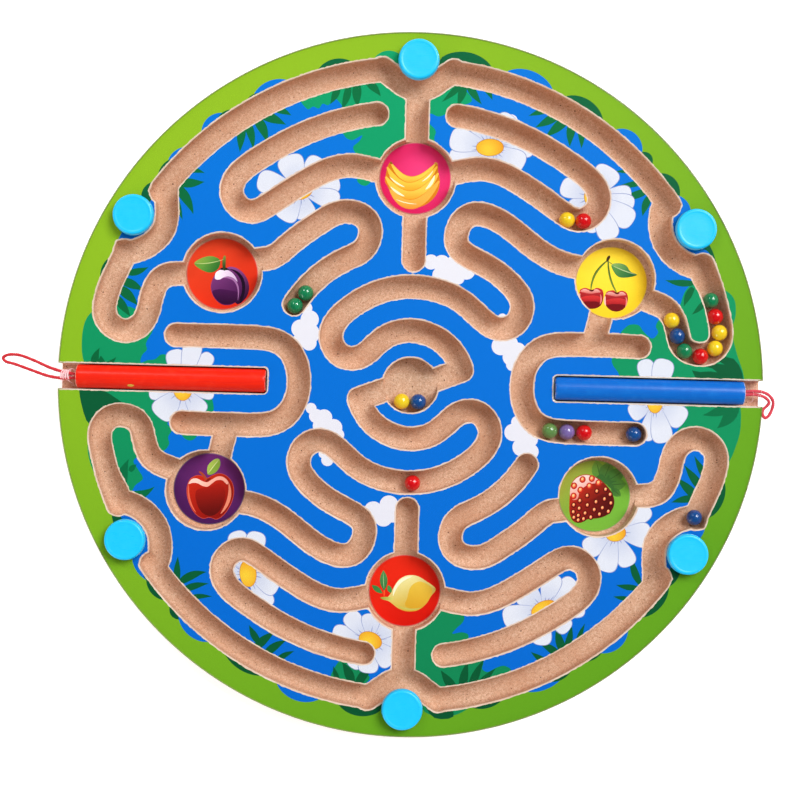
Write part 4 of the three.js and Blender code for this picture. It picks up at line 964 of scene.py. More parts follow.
# ---------------------------------------------------------- picture discs
def picture(name):
    """(background, shapes) in the disc's own plane."""
    s = []

    def shape(pts, colour, per=5):
        s.append((smooth_loop(pts, per), colour))
    if name == "banana":
        bg = radial((238, 62, 124), (206, 22, 84), (3, 2), 19)
        shape([(-11, 6.6), (-9.4, 5.2), (-7.4, 2.4), (-4, .4), (0, -.1), (3.6, 1.2), (6.2, 3.6), (7.8, 6.3), (9.4, 6.6), (9.8, 3.5), (10.6, -.5), (10.2, -4.5), (8, -8.5), (4, -11.6), (-1, -12.7), (-6, -11), (-9.5, -8), (-11.3, -4.4), (-13, -1.6), (-12.7, 1.4), (-12.2, 4.4)], flat(214, 126, 24))
        for p0, c, p1, w, top, low in [((-10.6, 6.4), (-2.2, -7.6), (8.4, 6.4), 2.6, (250, 204, 74), (240, 176, 50)), ((-12.2, 4.6), (-3, -12.4), (9.3, 5.4), 3.6, (250, 198, 66), (238, 164, 40)),
                                       ((-12.7, .4), (-1.6, -16.4), (9.9, 2.6), 3.9, (252, 200, 74), (240, 160, 42)), ((-11, -4.2), (-1.4, -19.8), (10.3, -.8), 3.8, (248, 178, 70), (238, 148, 56))]:
            s.append((crescent(p0, c, p1, w + 0.45, 17, 0.5), flat(216, 128, 26)))
            s.append((crescent(p0, c, p1, w, 17, 0.5), fade(top, low, (0, (p0[1] + 2 * c[1] + p1[1]) / 4 + w / 2), (0, (p0[1] + 2 * c[1] + p1[1]) / 4 - w / 2))))
        for q in [((-10.6, -3.8), (-7.6, -6.6), (-4.4, -7.8), 1.0), ((4.6, -4.6), (7.4, -2.2), (8.3, 1.6), 1.3), ((-11, .4), (-8, -2.6), (-4.4, -3.8), 0.7), ((3, -1.2), (6, .6), (7.6, 3.6), 0.6), ((-8, -9.2), (-4, -11), (1, -11), 0.4)]:
            s.append((crescent(*q), flat(255, 243, 204)))
        s.append((crescent((-11, 7), (-10.6, 6.4), (-10, 5.9), 0.9), flat(150, 100, 30)))
        s.append((crescent((-11.6, -4), (-11, -4.8), (-10, -5), 0.6), flat(190, 140, 50)))
        s.append((crescent((8, 6.9), (8.8, 6.9), (9.5, 6.4), 0.9), flat(214, 150, 60)))
    elif name == "lemon":
        bg = fade((232, 40, 16), (206, 20, 4), (-6, 10), (6, -12))
        shape([(-9.2, -3.9), (-7.2, -2.9), (-5.9, -1.2), (-4.8, 1.2), (-2.4, 4.8), (1.1, 6.6), (5.1, 6.5), (9.1, 4.4), (11.6, 2.6), (13.2, 1.4), (13.2, .2), (11.6, -1.8), (9.6, -5.2), (6.1, -8.2), (1.6, -8.9), (-2.4, -7.8), (-4.8, -6.1), (-6.6, -4.8)], fade((236, 230, 168), (206, 168, 52), (0, 7), (5, -8)))
        shape([(1.1, -3.4), (2.6, 1.8), (6.1, 4.1), (10.1, 2.8), (11.9, .9), (10.8, -3), (7.1, -7), (3.1, -7.8), (.3, -6.2)], fade((228, 190, 66), (212, 160, 40), (6, 4), (5, -8)))
        s.append((crescent((-4.9, -2.4), (-4.2, 4.6), (3.0, 6.2), 1.3), flat(246, 242, 208)))
        s.append((crescent((-3.4, -6.2), (1.6, -9.2), (7.4, -7.2), 0.7), flat(196, 190, 90)))
        s.append((crescent((9.6, 4), (11.6, 2.2), (13, 1.6), 0.7), flat(232, 216, 120)))
        s.append((crescent((-10.4, -3.3), (-7.6, -3.9), (-4.6, -3.4), 1.5), fade((150, 160, 60), (214, 206, 110), (-10, -3), (-5, -3))))
        s.append((crescent((-8.9, .4), (-8.6, -1.2), (-8.9, -2.8), 0.7), flat(240, 90, 40)))
        s.append((leaf(-8.9, -.2, -9.4, 8.4, 3.3), fade((84, 150, 84), (44, 112, 60), (-11, 8), (-8, 0))))
        s.append((leaf(-14.2, 2.0, -9.6, -1.4, 2.3), flat(60, 132, 66)))
        s.append((leaf(-5.9, -1.2, -7.2, 2.2, 2.0), flat(70, 140, 72)))
        s.append((crescent((-9.4, 7.4), (-9.3, 3.6), (-8.9, .4), 0.32), flat(150, 196, 130)))
    elif name == "plum":
        bg = fade((228, 68, 34), (214, 42, 16), (-8, 10), (8, -12))
        shape([(1.0, 1.6), (3.0, 3.1), (6.2, 2.6), (9.2, .4), (11.3, -3.2), (11.7, -6.7), (10.4, -10.2), (6.8, -12.9), (4, -8), (2, -2)], fade((140, 72, 138), (44, 10, 46), (5, 3), (10, -11)))
        s.append((crescent((1.2, 1.9), (11.0, .6), (8.2, -12.4), 3.0), flat(30, 8, 34)))
        shape([(-4.8, -5.7), (-3.8, -1.7), (-1.7, 1.5), (1.2, 2.5), (4.3, 1.6), (7.6, -1.6), (8.7, -6.2), (7.6, -10.4), (4.3, -13.1), (.3, -13.2), (-3.2, -10.4)], fade((124, 58, 122), (78, 26, 82), (-3, 0), (5, -10)))
        shape([(-4.0, -7.6), (-1, -6.6), (3, -7.0), (7.8, -8.2), (7.0, -11), (4.2, -12.8), (.4, -12.9), (-2.9, -10.4)], fade((72, 22, 76), (44, 8, 48), (2, -7), (2, -13)))
        s.append((crescent((-3.4, -2.2), (8.6, 1.4), (7.0, -11.2), 0.8), flat(164, 108, 164)))
        shape([(-3.0, -2.2), (-2.9, .2), (-1.6, 1.4), (.6, 2.0), (3.4, 1.2), (5.6, -.9), (6.6, -3.2), (4.6, -1.6), (2.2, -1.0), (.4, -1.6), (-1.2, -2.5)], fade((252, 240, 252), (204, 170, 210), (-2, -1), (7, -2)))
        s.append((crescent((-1.2, 1.9), (.6, 2.5), (2.9, 1.9), 1.2), flat(26, 14, 22)))
        s.append((crescent((1.0, 1.4), (.3, 4.4), (.9, 7.9), 1.5, 15, 0.3), fade((128, 150, 66), (44, 58, 28), (0, 8), (1, 2.4))))
        shape([(-12.2, 4.2), (-8.8, 6.7), (-4.4, 7.5), (-1.2, 5.9), (-1.7, 2.4), (-4.5, .5), (-8.2, 1.1)], fade((150, 186, 76), (60, 124, 48), (-11, 6.4), (-3, 1)))
        shape([(-12.2, 4.2), (-7.4, 4.0), (-1.2, 5.6), (-1.7, 2.4), (-4.5, .5), (-8.2, 1.1)], fade((104, 160, 62), (48, 112, 44), (-9, 4), (-3, 1)))
        s.append((crescent((-12, 4.2), (-6, 3.8), (.6, 6.3), 0.32), flat(196, 214, 138)))
    elif name == "apple":
        bg = radial((112, 42, 112), (70, 24, 84), (4, 7), 21)
        body = [(-9.5, -1.9), (-9.3, 1.1), (-8, 4.1), (-5, 5.6), (-2.5, 5.1), (-1, 4.5), (1, 5.6), (4, 6.6), (7, 5.8), (9.5, 3.1), (10.5, -.9), (9.5, -5.9), (6.5, -10.9), (3.5, -12.9), (.5, -12.2), (-2.5, -12.7), (-6, -10.4), (-8.5, -5.9)]
        shape([(x * 1.025, y * 1.02 + 0.05) for x, y in body], flat(206, 78, 56), 4)
        shape(body, fade((198, 40, 18), (140, 18, 10), (-6, 4), (4, -11)), 4)
        shape([(-5.6, -1), (-2, .4), (1, 1.2), (4.4, 2.4), (6.6, .4), (6.8, -4.4), (4.8, -9.2), (1.6, -11.6), (-2.2, -10.8), (-5, -7)], fade((166, 26, 14), (92, 12, 8), (0, 1), (2, -11)))
        shape([(-9.0, 1.9), (-7.6, 4.0), (-5.5, 4.3), (-3, 3.2), (-1, 2.8), (1, 4.0), (3.5, 5.4), (6, 5.2), (8.2, 3.0), (7.7, 2.1), (5.5, 3.8), (3, 3.7), (1, 2.2), (-.8, .9), (-3, 1.2), (-5, 2.2), (-7, 2.4)], fade((252, 206, 190), (246, 170, 150), (-4, 4), (0, 1)))
        s.append((crescent((8.3, 2.8), (10.4, -4.4), (5.2, -10.6), 1.5), flat(232, 134, 106)))
        s.append((crescent((-8.9, 2), (-9.6, -5.4), (-5.4, -10.4), 0.8), flat(226, 104, 78)))
        s.append((crescent((-1.2, 3.4), (-2.0, 5.6), (-4.6, 7.4), 1.1, 15, 0.3), flat(170, 66, 40)))
        s.append((crescent((-1.6, 3.0), (-.4, 4.2), (.6, 4.4), 0.9), flat(120, 30, 20)))
        shape([(-.9, 6.5), (-.8, 10), (2.5, 13), (4.0, 12.8), (4.4, 10.2), (2.6, 7.2), (-.2, 6.0)], fade((182, 200, 92), (128, 160, 56), (-1, 11), (4, 8)))
        shape([(-.6, 6.4), (1.6, 9.6), (4.0, 12.8), (4.4, 10.2), (2.6, 7.2), (-.2, 6.0)], flat(134, 164, 60))
        s.append((crescent((-.6, 6.6), (1.4, 9.6), (3.8, 12.6), 0.35), flat(216, 224, 150)))
    elif name == "cherry":
        bg = radial((255, 225, 60), (246, 205, 36), (-3, 4), 19)
        for pts, x0, y1 in (([(-13.9, -5.3), (-13.3, -3.3), (-11.1, -2.5), (-8.6, -3.3), (-6.1, -2.4), (-3.8, -3.3), (-3.3, -6.3), (-4.3, -9.8), (-6.6, -11.3), (-10.6, -11.3), (-13.1, -9.8), (-14, -7.3)], -8.6, -2.5),
                            ([(-2.6, -5.3), (-1.6, -3.8), (1.0, -3.3), (2.4, -4.1), (4.6, -3.3), (6.8, -4.5), (7.2, -7.8), (5.9, -10.8), (3.4, -12.3), (.4, -12.1), (-1.9, -10.3), (-2.7, -7.8)], 2.4, -3.4)):
            shape(pts, fade((190, 46, 48), (92, 8, 16), (x0, y1 - 1), (x0, y1 - 9)))
            shape([(x0 - 4.4, y1 - 4.2), (x0 + 3.6, y1 - 3.6), (x0 + 3.8, y1 - 6), (x0 - 4.2, y1 - 6.2)], fade((206, 50, 50), (164, 26, 32), (x0, y1 - 4), (x0, y1 - 6.2)), 3)
            shape([(x0 - 4.4, y1 - 6.4), (x0 + 3.8, y1 - 6.2), (x0 + 2.6, y1 - 8.2), (x0 - 2.8, y1 - 8.2)], flat(112, 12, 20), 3)
            shape([(x0 - 4.7, y1 - 1.6), (x0 - 3.2, y1 - .5), (x0 - .6, y1 - 1.1), (x0 + 2.4, y1 - .5), (x0 + 4, y1 - 1.7), (x0 + 2, y1 - 2.1), (x0 - .4, y1 - 2.5), (x0 - 2.8, y1 - 2.1)], fade((240, 184, 176), (200, 84, 80), (x0, y1 - .4), (x0, y1 - 2.9)), 4)
            s.append((crescent((x0 - 4.9, y1 - 2.4), (x0 - 5.4, y1 - 4.6), (x0 - 4.6, y1 - 6.6), 0.8), flat(250, 190, 180)))
            s.append((crescent((x0 + 3.9, y1 - 2.6), (x0 + 4.8, y1 - 4.8), (x0 + 3.8, y1 - 7), 0.6), flat(236, 130, 124)))
            s.append((crescent((x0 - 1.2, y1 - .7), (x0 + .1, y1 - 1.5), (x0 + 1.2, y1 - .8), 0.8), flat(84, 20, 20)))
        s.append((crescent((-8.8, -3.2), (-8.6, 4.4), (-1.6, 9.8), 0.9, 15, 0.25), flat(96, 128, 48)))
        s.append((crescent((2.2, -3.9), (-1.6, 1.6), (-1.7, 10), 0.9, 15, 0.25), flat(104, 134, 52)))
        s.append((crescent((-8.4, 1.6), (-6.6, 6.4), (-2, 9.6), 0.3), flat(60, 76, 30)))
        s.append((crescent((-.2, 1.0), (-1.6, 5.4), (-1.8, 9.6), 0.3), flat(60, 76, 30)))
        s.append((crescent((-2.2, 9.0), (-1.8, 10.6), (-1.0, 11.6), 1.3, 11, 0.4), flat(66, 48, 26)))
        s.append((crescent((-1.6, 9.2), (-.6, 8.4), (.6, 7.6), 0.35), flat(90, 120, 60)))
        shape([(-.2, 7.7), (2.4, 8.5), (5.9, 7.7), (8.2, 4.9), (10.9, 3.7), (6.9, 2.4), (2.9, 2.6), (.7, 5.0)], fade((134, 172, 96), (58, 122, 66), (2, 9), (7, 3)))
        shape([(-.2, 7.6), (4.4, 5.6), (10.9, 3.7), (6.9, 2.4), (2.9, 2.6), (.7, 5.0)], fade((90, 144, 74), (44, 106, 58), (1, 6), (8, 3)))
        s.append((crescent((-.2, 7.6), (5, 5.0), (10.6, 3.8), 0.35), flat(184, 206, 150)))
    else:
        bg = fade((158, 166, 62), (116, 178, 58), (-8, 12), (4, 2))
        for q, c0, c1 in (((2.4, 6.2, .4, 15.4, 5.6), (120, 164, 62), (76, 128, 50)), ((3.4, 6.6, 6.6, 14.6, 6.4), (104, 150, 60), (56, 100, 46)), ((4.4, 6.0, 12.6, 11.4, 6.2), (92, 140, 56), (60, 112, 48)),
                          ((5.4, 4.8, 13.6, 5.6, 5.4), (96, 150, 56), (56, 104, 46)), ((7.2, 3.2, 11.4, .2, 3.4), (84, 136, 54), (52, 100, 44))):
            s.append((leaf(*q), fade(c0, c1, (q[2], q[3]), (q[0], q[1]))))
            s.append((crescent((q[0], q[1]), ((q[0] + q[2]) / 2 + .4, (q[1] + q[3]) / 2), (q[0] * .1 + q[2] * .9, q[1] * .1 + q[3] * .9), 0.3), flat(56, 92, 42)))
        body = [(-10.6, .8), (-10.1, 4.8), (-7.6, 8), (-3.6, 9.2), (.9, 7.9), (4.9, 4.9), (7.9, .8), (8.7, -3.2), (6.9, -7.2), (2.9, -9.4), (-2.6, -10.2), (-5.6, -11.8), (-8.6, -11.3), (-10.4, -8.2), (-10.7, -3.2)]
        shape(body, fade((196, 46, 26), (88, 14, 10), (-8, 5), (6, -5)), 4)
        shape([(-9.8, -4), (-7, -2.4), (-2, -2), (3, .6), (6.8, .6), (7.9, -3.2), (6.2, -6.8), (2.6, -8.7), (-2.6, -9.5), (-5.6, -11), (-8.4, -10.6), (-9.8, -7.8)], fade((146, 28, 18), (84, 14, 12), (-6, -3), (5, -7)))
        shape([(-10.4, -.4), (-10.0, 4.5), (-7.6, 7.6), (-3.6, 8.9), (.7, 7.6), (3.2, 5.7), (1, 5.5), (-2, 5.0), (-4.6, 3.6), (-6.4, 1.6), (-7.2, -1.4), (-9, -2)], fade((250, 226, 220), (226, 140, 124), (-8, 7), (-4, 0)))
        for x, y in [(-5.3, 7.0), (-1.3, 7.5), (-8.9, 4.2), (-6.1, 2.5), (-2.3, 4.3), (1.6, 5.8), (-9, -.2), (-3.1, .1), (1.0, 2.1), (4.8, 3.0), (-6.2, -2.2), (.8, -2.5), (4.4, -1.2), (6.8, .8), (-8.8, -4.1), (-2.9, -4.0), (-6.4, -5.5), (.1, -5.9), (3.6, -5.0), (7.2, -2.9), (-8.9, -7.1), (-3.8, -7.5), (6.2, -6.5), (2.4, -7.8), (-8.6, -9.5), (-1.3, -9.2), (-4.4, -10.0), (-6.7, -10.6), (-6.7, -8.6)]:
            big = 1.0 if (x < -4 and y > -1.5) or y > 3.4 else 0.78
            s.append((circle(x + 0.05, y - 0.1, 1.35 * big, 16, 1.5 * big, -0.3), flat(188, 36, 22) if big == 1.0 else flat(72, 8, 8)))
            s.append((circle(x, y, 0.78 * big, 14, 0.98 * big, -0.3), flat(238, 106, 72)))
            s.append((circle(x - 0.08, y + 0.16, 0.46 * big, 10, 0.6 * big, -0.3), flat(254, 202, 132)))
        shape([(.6, 8.2), (2.2, 7.2), (4.4, 5.4), (6.6, 4.2), (7.6, 2.0), (8.4, 4.0), (7.4, 5.6), (9.6, 6.6), (6.6, 7.0), (6.2, 9.2), (4.4, 7.6), (3.2, 9.4)], flat(58, 104, 46), 3)
    return bg, s


def build_disc(name, cx, cy):
    bg, shapes = picture(name)
    plan = Plan()
    plan.add(circle(0, 0, DISC_R, 120), "rim")
    plan.add(circle(0, 0, DISC_R - 0.35, 120), "lip")
    g = np.arange(-15, 15.1, 1.6)
    gx, gy = np.meshgrid(g, g)
    pts = np.stack([gx.ravel() + 0.13, gy.ravel() + 0.07], 1)
    plan.points(pts[np.hypot(pts[:, 0], pts[:, 1]) < 14.6])
    top = flood(plan, shapes)
    keep = plan.count({"rim"}) > 0
    T, top = plan.T[keep], top[keep]
    inner = plan.count({"lip"})[keep] > 0
    V = plan.V
    r = np.hypot(V[:, 0], V[:, 1])
    z = np.where(r > DISC_R - 0.1, FLOOR_Z + 0.3, FLOOR_Z + 0.4)
    colours = shade_triangles(V, T, top, shapes, bg)
    colours[~inner] = colours[~inner] * 0.75 + 0.1
    n = len(V)
    verts = np.vstack([np.column_stack([V, z]), np.column_stack([V, np.full(n, FLOOR_Z + 0.01)])])
    edges = set()
    for a, b, c in T.tolist():
        edges.update(((a, b), (b, c), (c, a)))
    skirt = [(a, a + n, b + n, b) for a, b in edges if (b, a) not in edges]
    faces = T.tolist() + (T[:, ::-1] + n).tolist() + [list(q) for q in skirt]
    verts[:, 0] += cx
    verts[:, 1] += cy
    me = bpy.data.meshes.new("picture_" + name)
    me.from_pydata((verts * MM).tolist(), [], faces)
    ob = bpy.data.objects.new("picture_" + name, me)
    bpy.context.scene.collection.objects.link(ob)
    me.update()
    paint_faces(ob, np.vstack([colours.reshape(-1, 4), np.tile(np.array(rgb(235, 230, 224)), (3 * len(T) + 4 * len(skirt), 1))]))
    return done(ob, "board", "disc_" + name, PICTURE, "disc_" + name)


# ------------------------------------------------------------- clear cover
def build_cover():
    def outline(d):
        r, h, s, c = COVER_R - d, SLOT_HALF + d, SLOT_IN - d, 1.6
        a = math.asin(h / r)
        out = []
        for k in (0, 1):
            sg = 1 if k == 0 else -1
            arc = [(sg * r * math.cos(t), sg * r * math.sin(t)) for t in np.linspace(a, math.pi - a, 181)]
            end = [(-sg * x, -sg * y) for x, y in [(s + c + 6, -h), (s + c, -h)] + [(s + c - c * math.sin(t), -h + c - c * math.cos(t)) for t in np.linspace(0.15, math.pi / 2, 7)]]
            end += [(-sg * x, -sg * y) for x, y in [(s + c - c * math.cos(t), h - c + c * math.sin(t)) for t in np.linspace(0, math.pi / 2 - 0.15, 7)] + [(s + c, h), (s + c + 6, h)]]
            out += arc + end
        return np.array(out)
    rings = [(0.3, TOP_Z + 0.02), (0.0, TOP_Z + 0.3), (0.0, COVER_Z - 0.3), (0.09, COVER_Z - 0.09), (0.3, COVER_Z)]
    verts, faces = [], []
    loops = [outline(d) for d, _ in rings]
    m = len(loops[0])
    plan = Plan()
    plan.add(loops[-1], "rim")
    for x, y in CAPS:
        plan.add(circle(x, y, 2.4, 24), "hole")
    plan.run()
    keep = (plan.count({"rim"}) > 0) & (plan.count({"hole"}) <= 0)
    T, V = plan.T[keep], plan.V
    n = len(V)
    top = np.column_stack([V, np.full(n, COVER_Z)])
    bot = np.column_stack([V, np.full(n, TOP_Z + 0.02)])
    verts = [top, bot]
    faces = T.tolist() + (T[:, ::-1] + n).tolist()
    off = 2 * n
    for (d, z), l in zip(rings, loops):
        verts.append(np.column_stack([l, np.full(m, z)]))
    for k in range(len(rings) - 1):
        a, b = off + k * m, off + (k + 1) * m
        faces += [(a + i, a + (i + 1) % m, b + (i + 1) % m, b + i) for i in range(m)]
    base = off + len(rings) * m
    for x, y in CAPS:
        c = circle(x, y, 2.4, 24)
        verts += [np.column_stack([c, np.full(24, TOP_Z + 0.02)]), np.column_stack([c, np.full(24, COVER_Z)])]
        faces += [(base + (i + 1) % 24, base + i, base + 24 + i, base + 24 + (i + 1) % 24) for i in range(24)]
        base += 48
    ob = new_mesh("cover_clear", np.vstack(verts), faces)
    bm = bmesh.new()
    bm.from_mesh(ob.data)
    bmesh.ops.remove_doubles(bm, verts=bm.verts, dist=3e-6)
    bmesh.ops.recalc_face_normals(bm, faces=bm.faces)
    bm.to_mesh(ob.data)
    bm.free()
    ob.data.polygons.foreach_set("use_smooth", [True] * len(ob.data.polygons))
    ob.data.set_sharp_from_angle(angle=math.radians(14))
    return done(ob, "board", "clear_acrylic", ACRYLIC, "clear_cover")


# ---------------------------------------------------- caps, washers, screws
def build_fasteners():
    top = COVER_Z + 3.1
    for i, (x, y) in enumerate(CAPS):
        n = i + 1
        prof = [(0, top - 0.10), (4.0, top - 0.13), (6.7, top - 0.16), (6.95, top - 0.13), (7.25, top - 0.03), (7.6, top), (8.1, top - 0.12),
                (8.36, top - 0.42), (8.52, top - 0.9), (8.62, COVER_Z + 1.0), (8.68, COVER_Z + 0.5), (8.6, COVER_Z + 0.12), (8.45, COVER_Z + 0.01), (7.75, COVER_Z + 0.01), (7.6, COVER_Z + 0.2),
                (7.6, top - 1.0), (7.2, top - 1.25), (0, top - 1.25)]
        cap = lathe("snap_cap_%d_shell" % n, prof, 96, at=(x, y, 0), smooth=50)
        # small flash along the parting line at the rim
        rng = np.random.default_rng(100 + i)
        co = np.array([v.co for v in cap.data.vertices]) / MM
        ang = np.arctan2(co[:, 1] - y, co[:, 0] - x)
        wob = 0.5 + 0.5 * np.sin(ang * 5 + i) * np.sin(ang * 13 + 2.1 * i)
        low = co[:, 2] < COVER_Z + 0.6
        rr = np.hypot(co[:, 0] - x, co[:, 1] - y)
        grow = np.where(low & (rr > 8.4), 0.06 + 0.10 * (wob > 0.8) * rng.uniform(0.4, 1, len(co)), 0)
        co[:, 0] += np.cos(ang) * grow
        co[:, 1] += np.sin(ang) * grow
        cap.data.vertices.foreach_set("co", (co * MM).astype(np.float32).ravel())
        done(cap, "board", "cap_plastic", CAP_MAT, "snap_cap_%d" % n)
        wz = COVER_Z
        washer = lathe("cap_washer_%d_ring" % n, [(2.1, wz + 0.15), (2.25, wz + 0.01), (7.0, wz + 0.01), (7.2, wz + 0.2), (7.2, wz + 0.6), (6.9, wz + 0.78), (2.3, wz + 0.78), (2.1, wz + 0.6), (2.1, wz + 0.15)], 64, at=(x, y, 0))
        done(washer, "board", "washer_plastic", WASHER_MAT, "cap_washer_%d" % n)
        h = COVER_Z + 0.8
        thread = [(0, h + 0.5), (1.1, h + 0.55), (1.35, h + 1.12), (2.4, h + 1.1), (3.3, h + 0.75), (3.68, h + 0.35), (3.6, h + 0.02), (1.5, h - 0.02)]
        z = h - 1.2
        while z > 6.6:
            thread += [(1.12, z), (1.46, z - 0.35), (1.46, z - 0.45), (1.12, z - 0.8)]
            z -= 1.0
        thread += [(1.0, 5.6), (0, 3.25)]
        screw = lathe("cap_screw_%d_body" % n, thread, 32, at=(x, y, 0), smooth=30)
        done(screw, "board", "screw_steel", SCREW_MAT, "cap_screw_%d" % n)


# ------------------------------------------------------------------- balls
PAINTS = {
    "yellow": (rgb(255, 222, 40), rgb(248, 190, 16), rgb(255, 242, 140)),
    "red": (rgb(232, 14, 24), rgb(186, 6, 16), rgb(246, 70, 70)),
    "green": (rgb(26, 142, 90), rgb(12, 106, 66), rgb(86, 176, 130)),
    "blue": (rgb(24, 84, 156), rgb(12, 48, 108), rgb(90, 136, 196)),
    "violet": (rgb(134, 112, 178), rgb(104, 84, 150), rgb(176, 160, 210)),
    "olive": (rgb(108, 152, 84), rgb(80, 124, 64), rgb(160, 186, 130)),
}


def build_balls():
    mats = {}
    for n, (name, x, y) in enumerate(BALLS):
        paint = name[3:]
        look = "olive" if name == "15_green" else paint
        if look not in mats:
            mats[look] = paint_material("ball_" + look, *PAINTS[look])
        bm = bmesh.new()
        bmesh.ops.create_icosphere(bm, subdivisions=5, radius=1.0)
        me = bpy.data.meshes.new("ball_%s_painted" % name)
        bm.to_mesh(me)
        bm.free()
        v = np.zeros(len(me.vertices) * 3, np.float32)
        me.vertices.foreach_get("co", v)
        v = v.reshape(-1, 3).astype(float)
        # the lacquer is a little uneven, with a small dry patch where the ball sat
        wave = np.zeros(len(v))
        for k in range(6):
            d = np.array([math.sin(n * 3.1 + k * 1.7), math.cos(n * 1.3 + k * 2.9), math.sin(n * 0.7 + k * 4.3)])
            wave += np.sin(v @ d * (2.5 + k) + n + k)
        foot = np.array([math.sin(n * 2.3) * 0.6, math.cos(n * 2.3) * 0.6, -0.53])
        foot /= np.linalg.norm(foot)
        dry = np.clip((v @ foot - 0.93) / 0.07, 0, 1)
        r = BALL_R - 0.02 + 0.004 * wave - 0.05 * dry
        v = v * r[:, None] + np.array([x, y, BALL_Z])
        me.vertices.foreach_set("co", (v * MM).astype(np.float32).ravel())
        me.polygons.foreach_set("use_smooth", [True] * len(me.polygons))
        me.update()
        ob = bpy.data.objects.new("ball_%s_painted" % name, me)
        bpy.context.scene.collection.objects.link(ob)
        done(ob, "ball_" + name, "ball_" + paint, mats[look], "ball_" + name)


# -------------------------------------------------------------------- pens
def pen_material(name, colour, dark, light, chip=None):
    k = Mat(name)
    streak = k.noise(0.8, 4, 0.6, k.scaled(0.12, 1.6, 1.6))
    col = k.mix(k.ramp(streak, [(0.35, 0.0), (0.7, 0.6)]), colour, dark)
    col = k.mix(k.ramp(k.noise(0.3, 2), [(0.5, 0.0), (0.8, 0.35)]), col, light)
    xyz = k.node("SeparateXYZ", Vector=k.p)
    x = k.math("ABSOLUTE", xyz.outputs["X"])
    fray = k.math("MULTIPLY", k.noise(1.3, 3, 0.7), 1.1)
    tail = k.math("GREATER_THAN", k.math("ADD", x, fray), PEN_OUT + 0.28)
    tip = k.math("LESS_THAN", k.math("SUBTRACT", x, fray), PEN_IN - 0.42)
    dz = k.math("SUBTRACT", xyz.outputs["Z"], PEN_Z)
    off = k.math("SQRT", k.math("ADD", k.math("MULTIPLY", xyz.outputs["Y"], xyz.outputs["Y"]), k.math("MULTIPLY", dz, dz)))
    corner = k.math("GREATER_THAN", k.math("ADD", off, k.math("MULTIPLY", k.noise(1.1, 3, 0.7), 0.5)), 4.45)
    worn = k.math("MULTIPLY", k.math("MAXIMUM", tail, tip), corner)
    col = k.mix(k.math("MULTIPLY", worn, 0.55), col, rgb(244, 226, 206))
    nick = k.math("GREATER_THAN", k.noise(0.9, 5, 0.75), 0.745)
    col = k.mix(k.math("MULTIPLY", nick, 0.6), col, light)
    if chip:
        px, py = chip
        dx = k.math("MULTIPLY", k.math("ADD", xyz.outputs["X"], -px), 0.55)
        dy = k.math("MULTIPLY", k.math("ADD", xyz.outputs["Y"], -py), 1.5)
        d = k.math("SQRT", k.math("ADD", k.math("MULTIPLY", dx, dx), k.math("MULTIPLY", dy, dy)))
        d = k.math("ADD", d, k.math("MULTIPLY", k.noise(1.4, 3), 0.9))
        on = k.math("MULTIPLY", k.math("LESS_THAN", d, 1.25), k.math("GREATER_THAN", xyz.outputs["Z"], PEN_Z))
        col = k.mix(on, col, rgb(226, 176, 70))
    return k.principled(col, k.ramp(streak, [(0.3, 0.24), (0.7, 0.38)]), k.bump(k.math("ADD", streak, k.noise(2.6, 2)), 0.05, 0.5), Coat_Weight=0.12, Coat_Roughness=0.22, Specular_IOR_Level=0.2)


def build_pens():
    mats = {"red": pen_material("pen_red_lacquer", rgb(240, 38, 12), rgb(218, 22, 6), rgb(248, 66, 40), (-118.9, -3.5)),
            "blue": pen_material("pen_blue_lacquer", rgb(10, 106, 202), rgb(8, 92, 184), rgb(30, 128, 216))}
    for name, side in (("red", -1), ("blue", 1)):
        R = PEN_R
        prof = [(0, PEN_IN + 5.2), (3.15, PEN_IN + 5.2), (3.15, PEN_IN + 0.25), (3.4, PEN_IN + 0.02), (R - 1.0, PEN_IN), (R - 0.6, PEN_IN + 0.1), (R - 0.22, PEN_IN + 0.4), (R - 0.03, PEN_IN + 0.95)]
        prof += [(R - 0.012 * (1 + math.sin(t * 1.7)) * (1 + 0.6 * math.sin(t * 0.53)), t) for t in np.arange(PEN_IN + 1.6, PEN_OUT - 1.2, 1.6)]
        prof += [(R - 0.01, PEN_OUT - 0.5), (R - 0.09, PEN_OUT - 0.2), (R - 0.26, PEN_OUT - 0.04), (R - 0.5, PEN_OUT), (2.4, PEN_OUT), (2.15, PEN_OUT - 0.2), (2.1, PEN_OUT - 0.6), (2.1, PEN_OUT - 8), (0, PEN_OUT - 8)]
        barrel = lathe("pen_%s_body" % name, prof, 72, "x" if side > 0 else "-x", (0, 0, PEN_Z), 40)
        done(barrel, "pen_" + name, "pen_%s_paint" % name, mats[name], "pen_%s_barrel" % name)
        mag = lathe("pen_%s_magnet_disc" % name, [(0, PEN_IN + 0.3), (2.6, PEN_IN + 0.3), (2.85, PEN_IN + 0.38), (2.98, PEN_IN + 0.6), (3, PEN_IN + 1), (3, PEN_IN + 5), (0, PEN_IN + 5)], 48, "x" if side > 0 else "-x", (0, 0, PEN_Z))
        done(mag, "pen_" + name, "magnet", MAGNET_MAT, "pen_%s_magnet" % name)


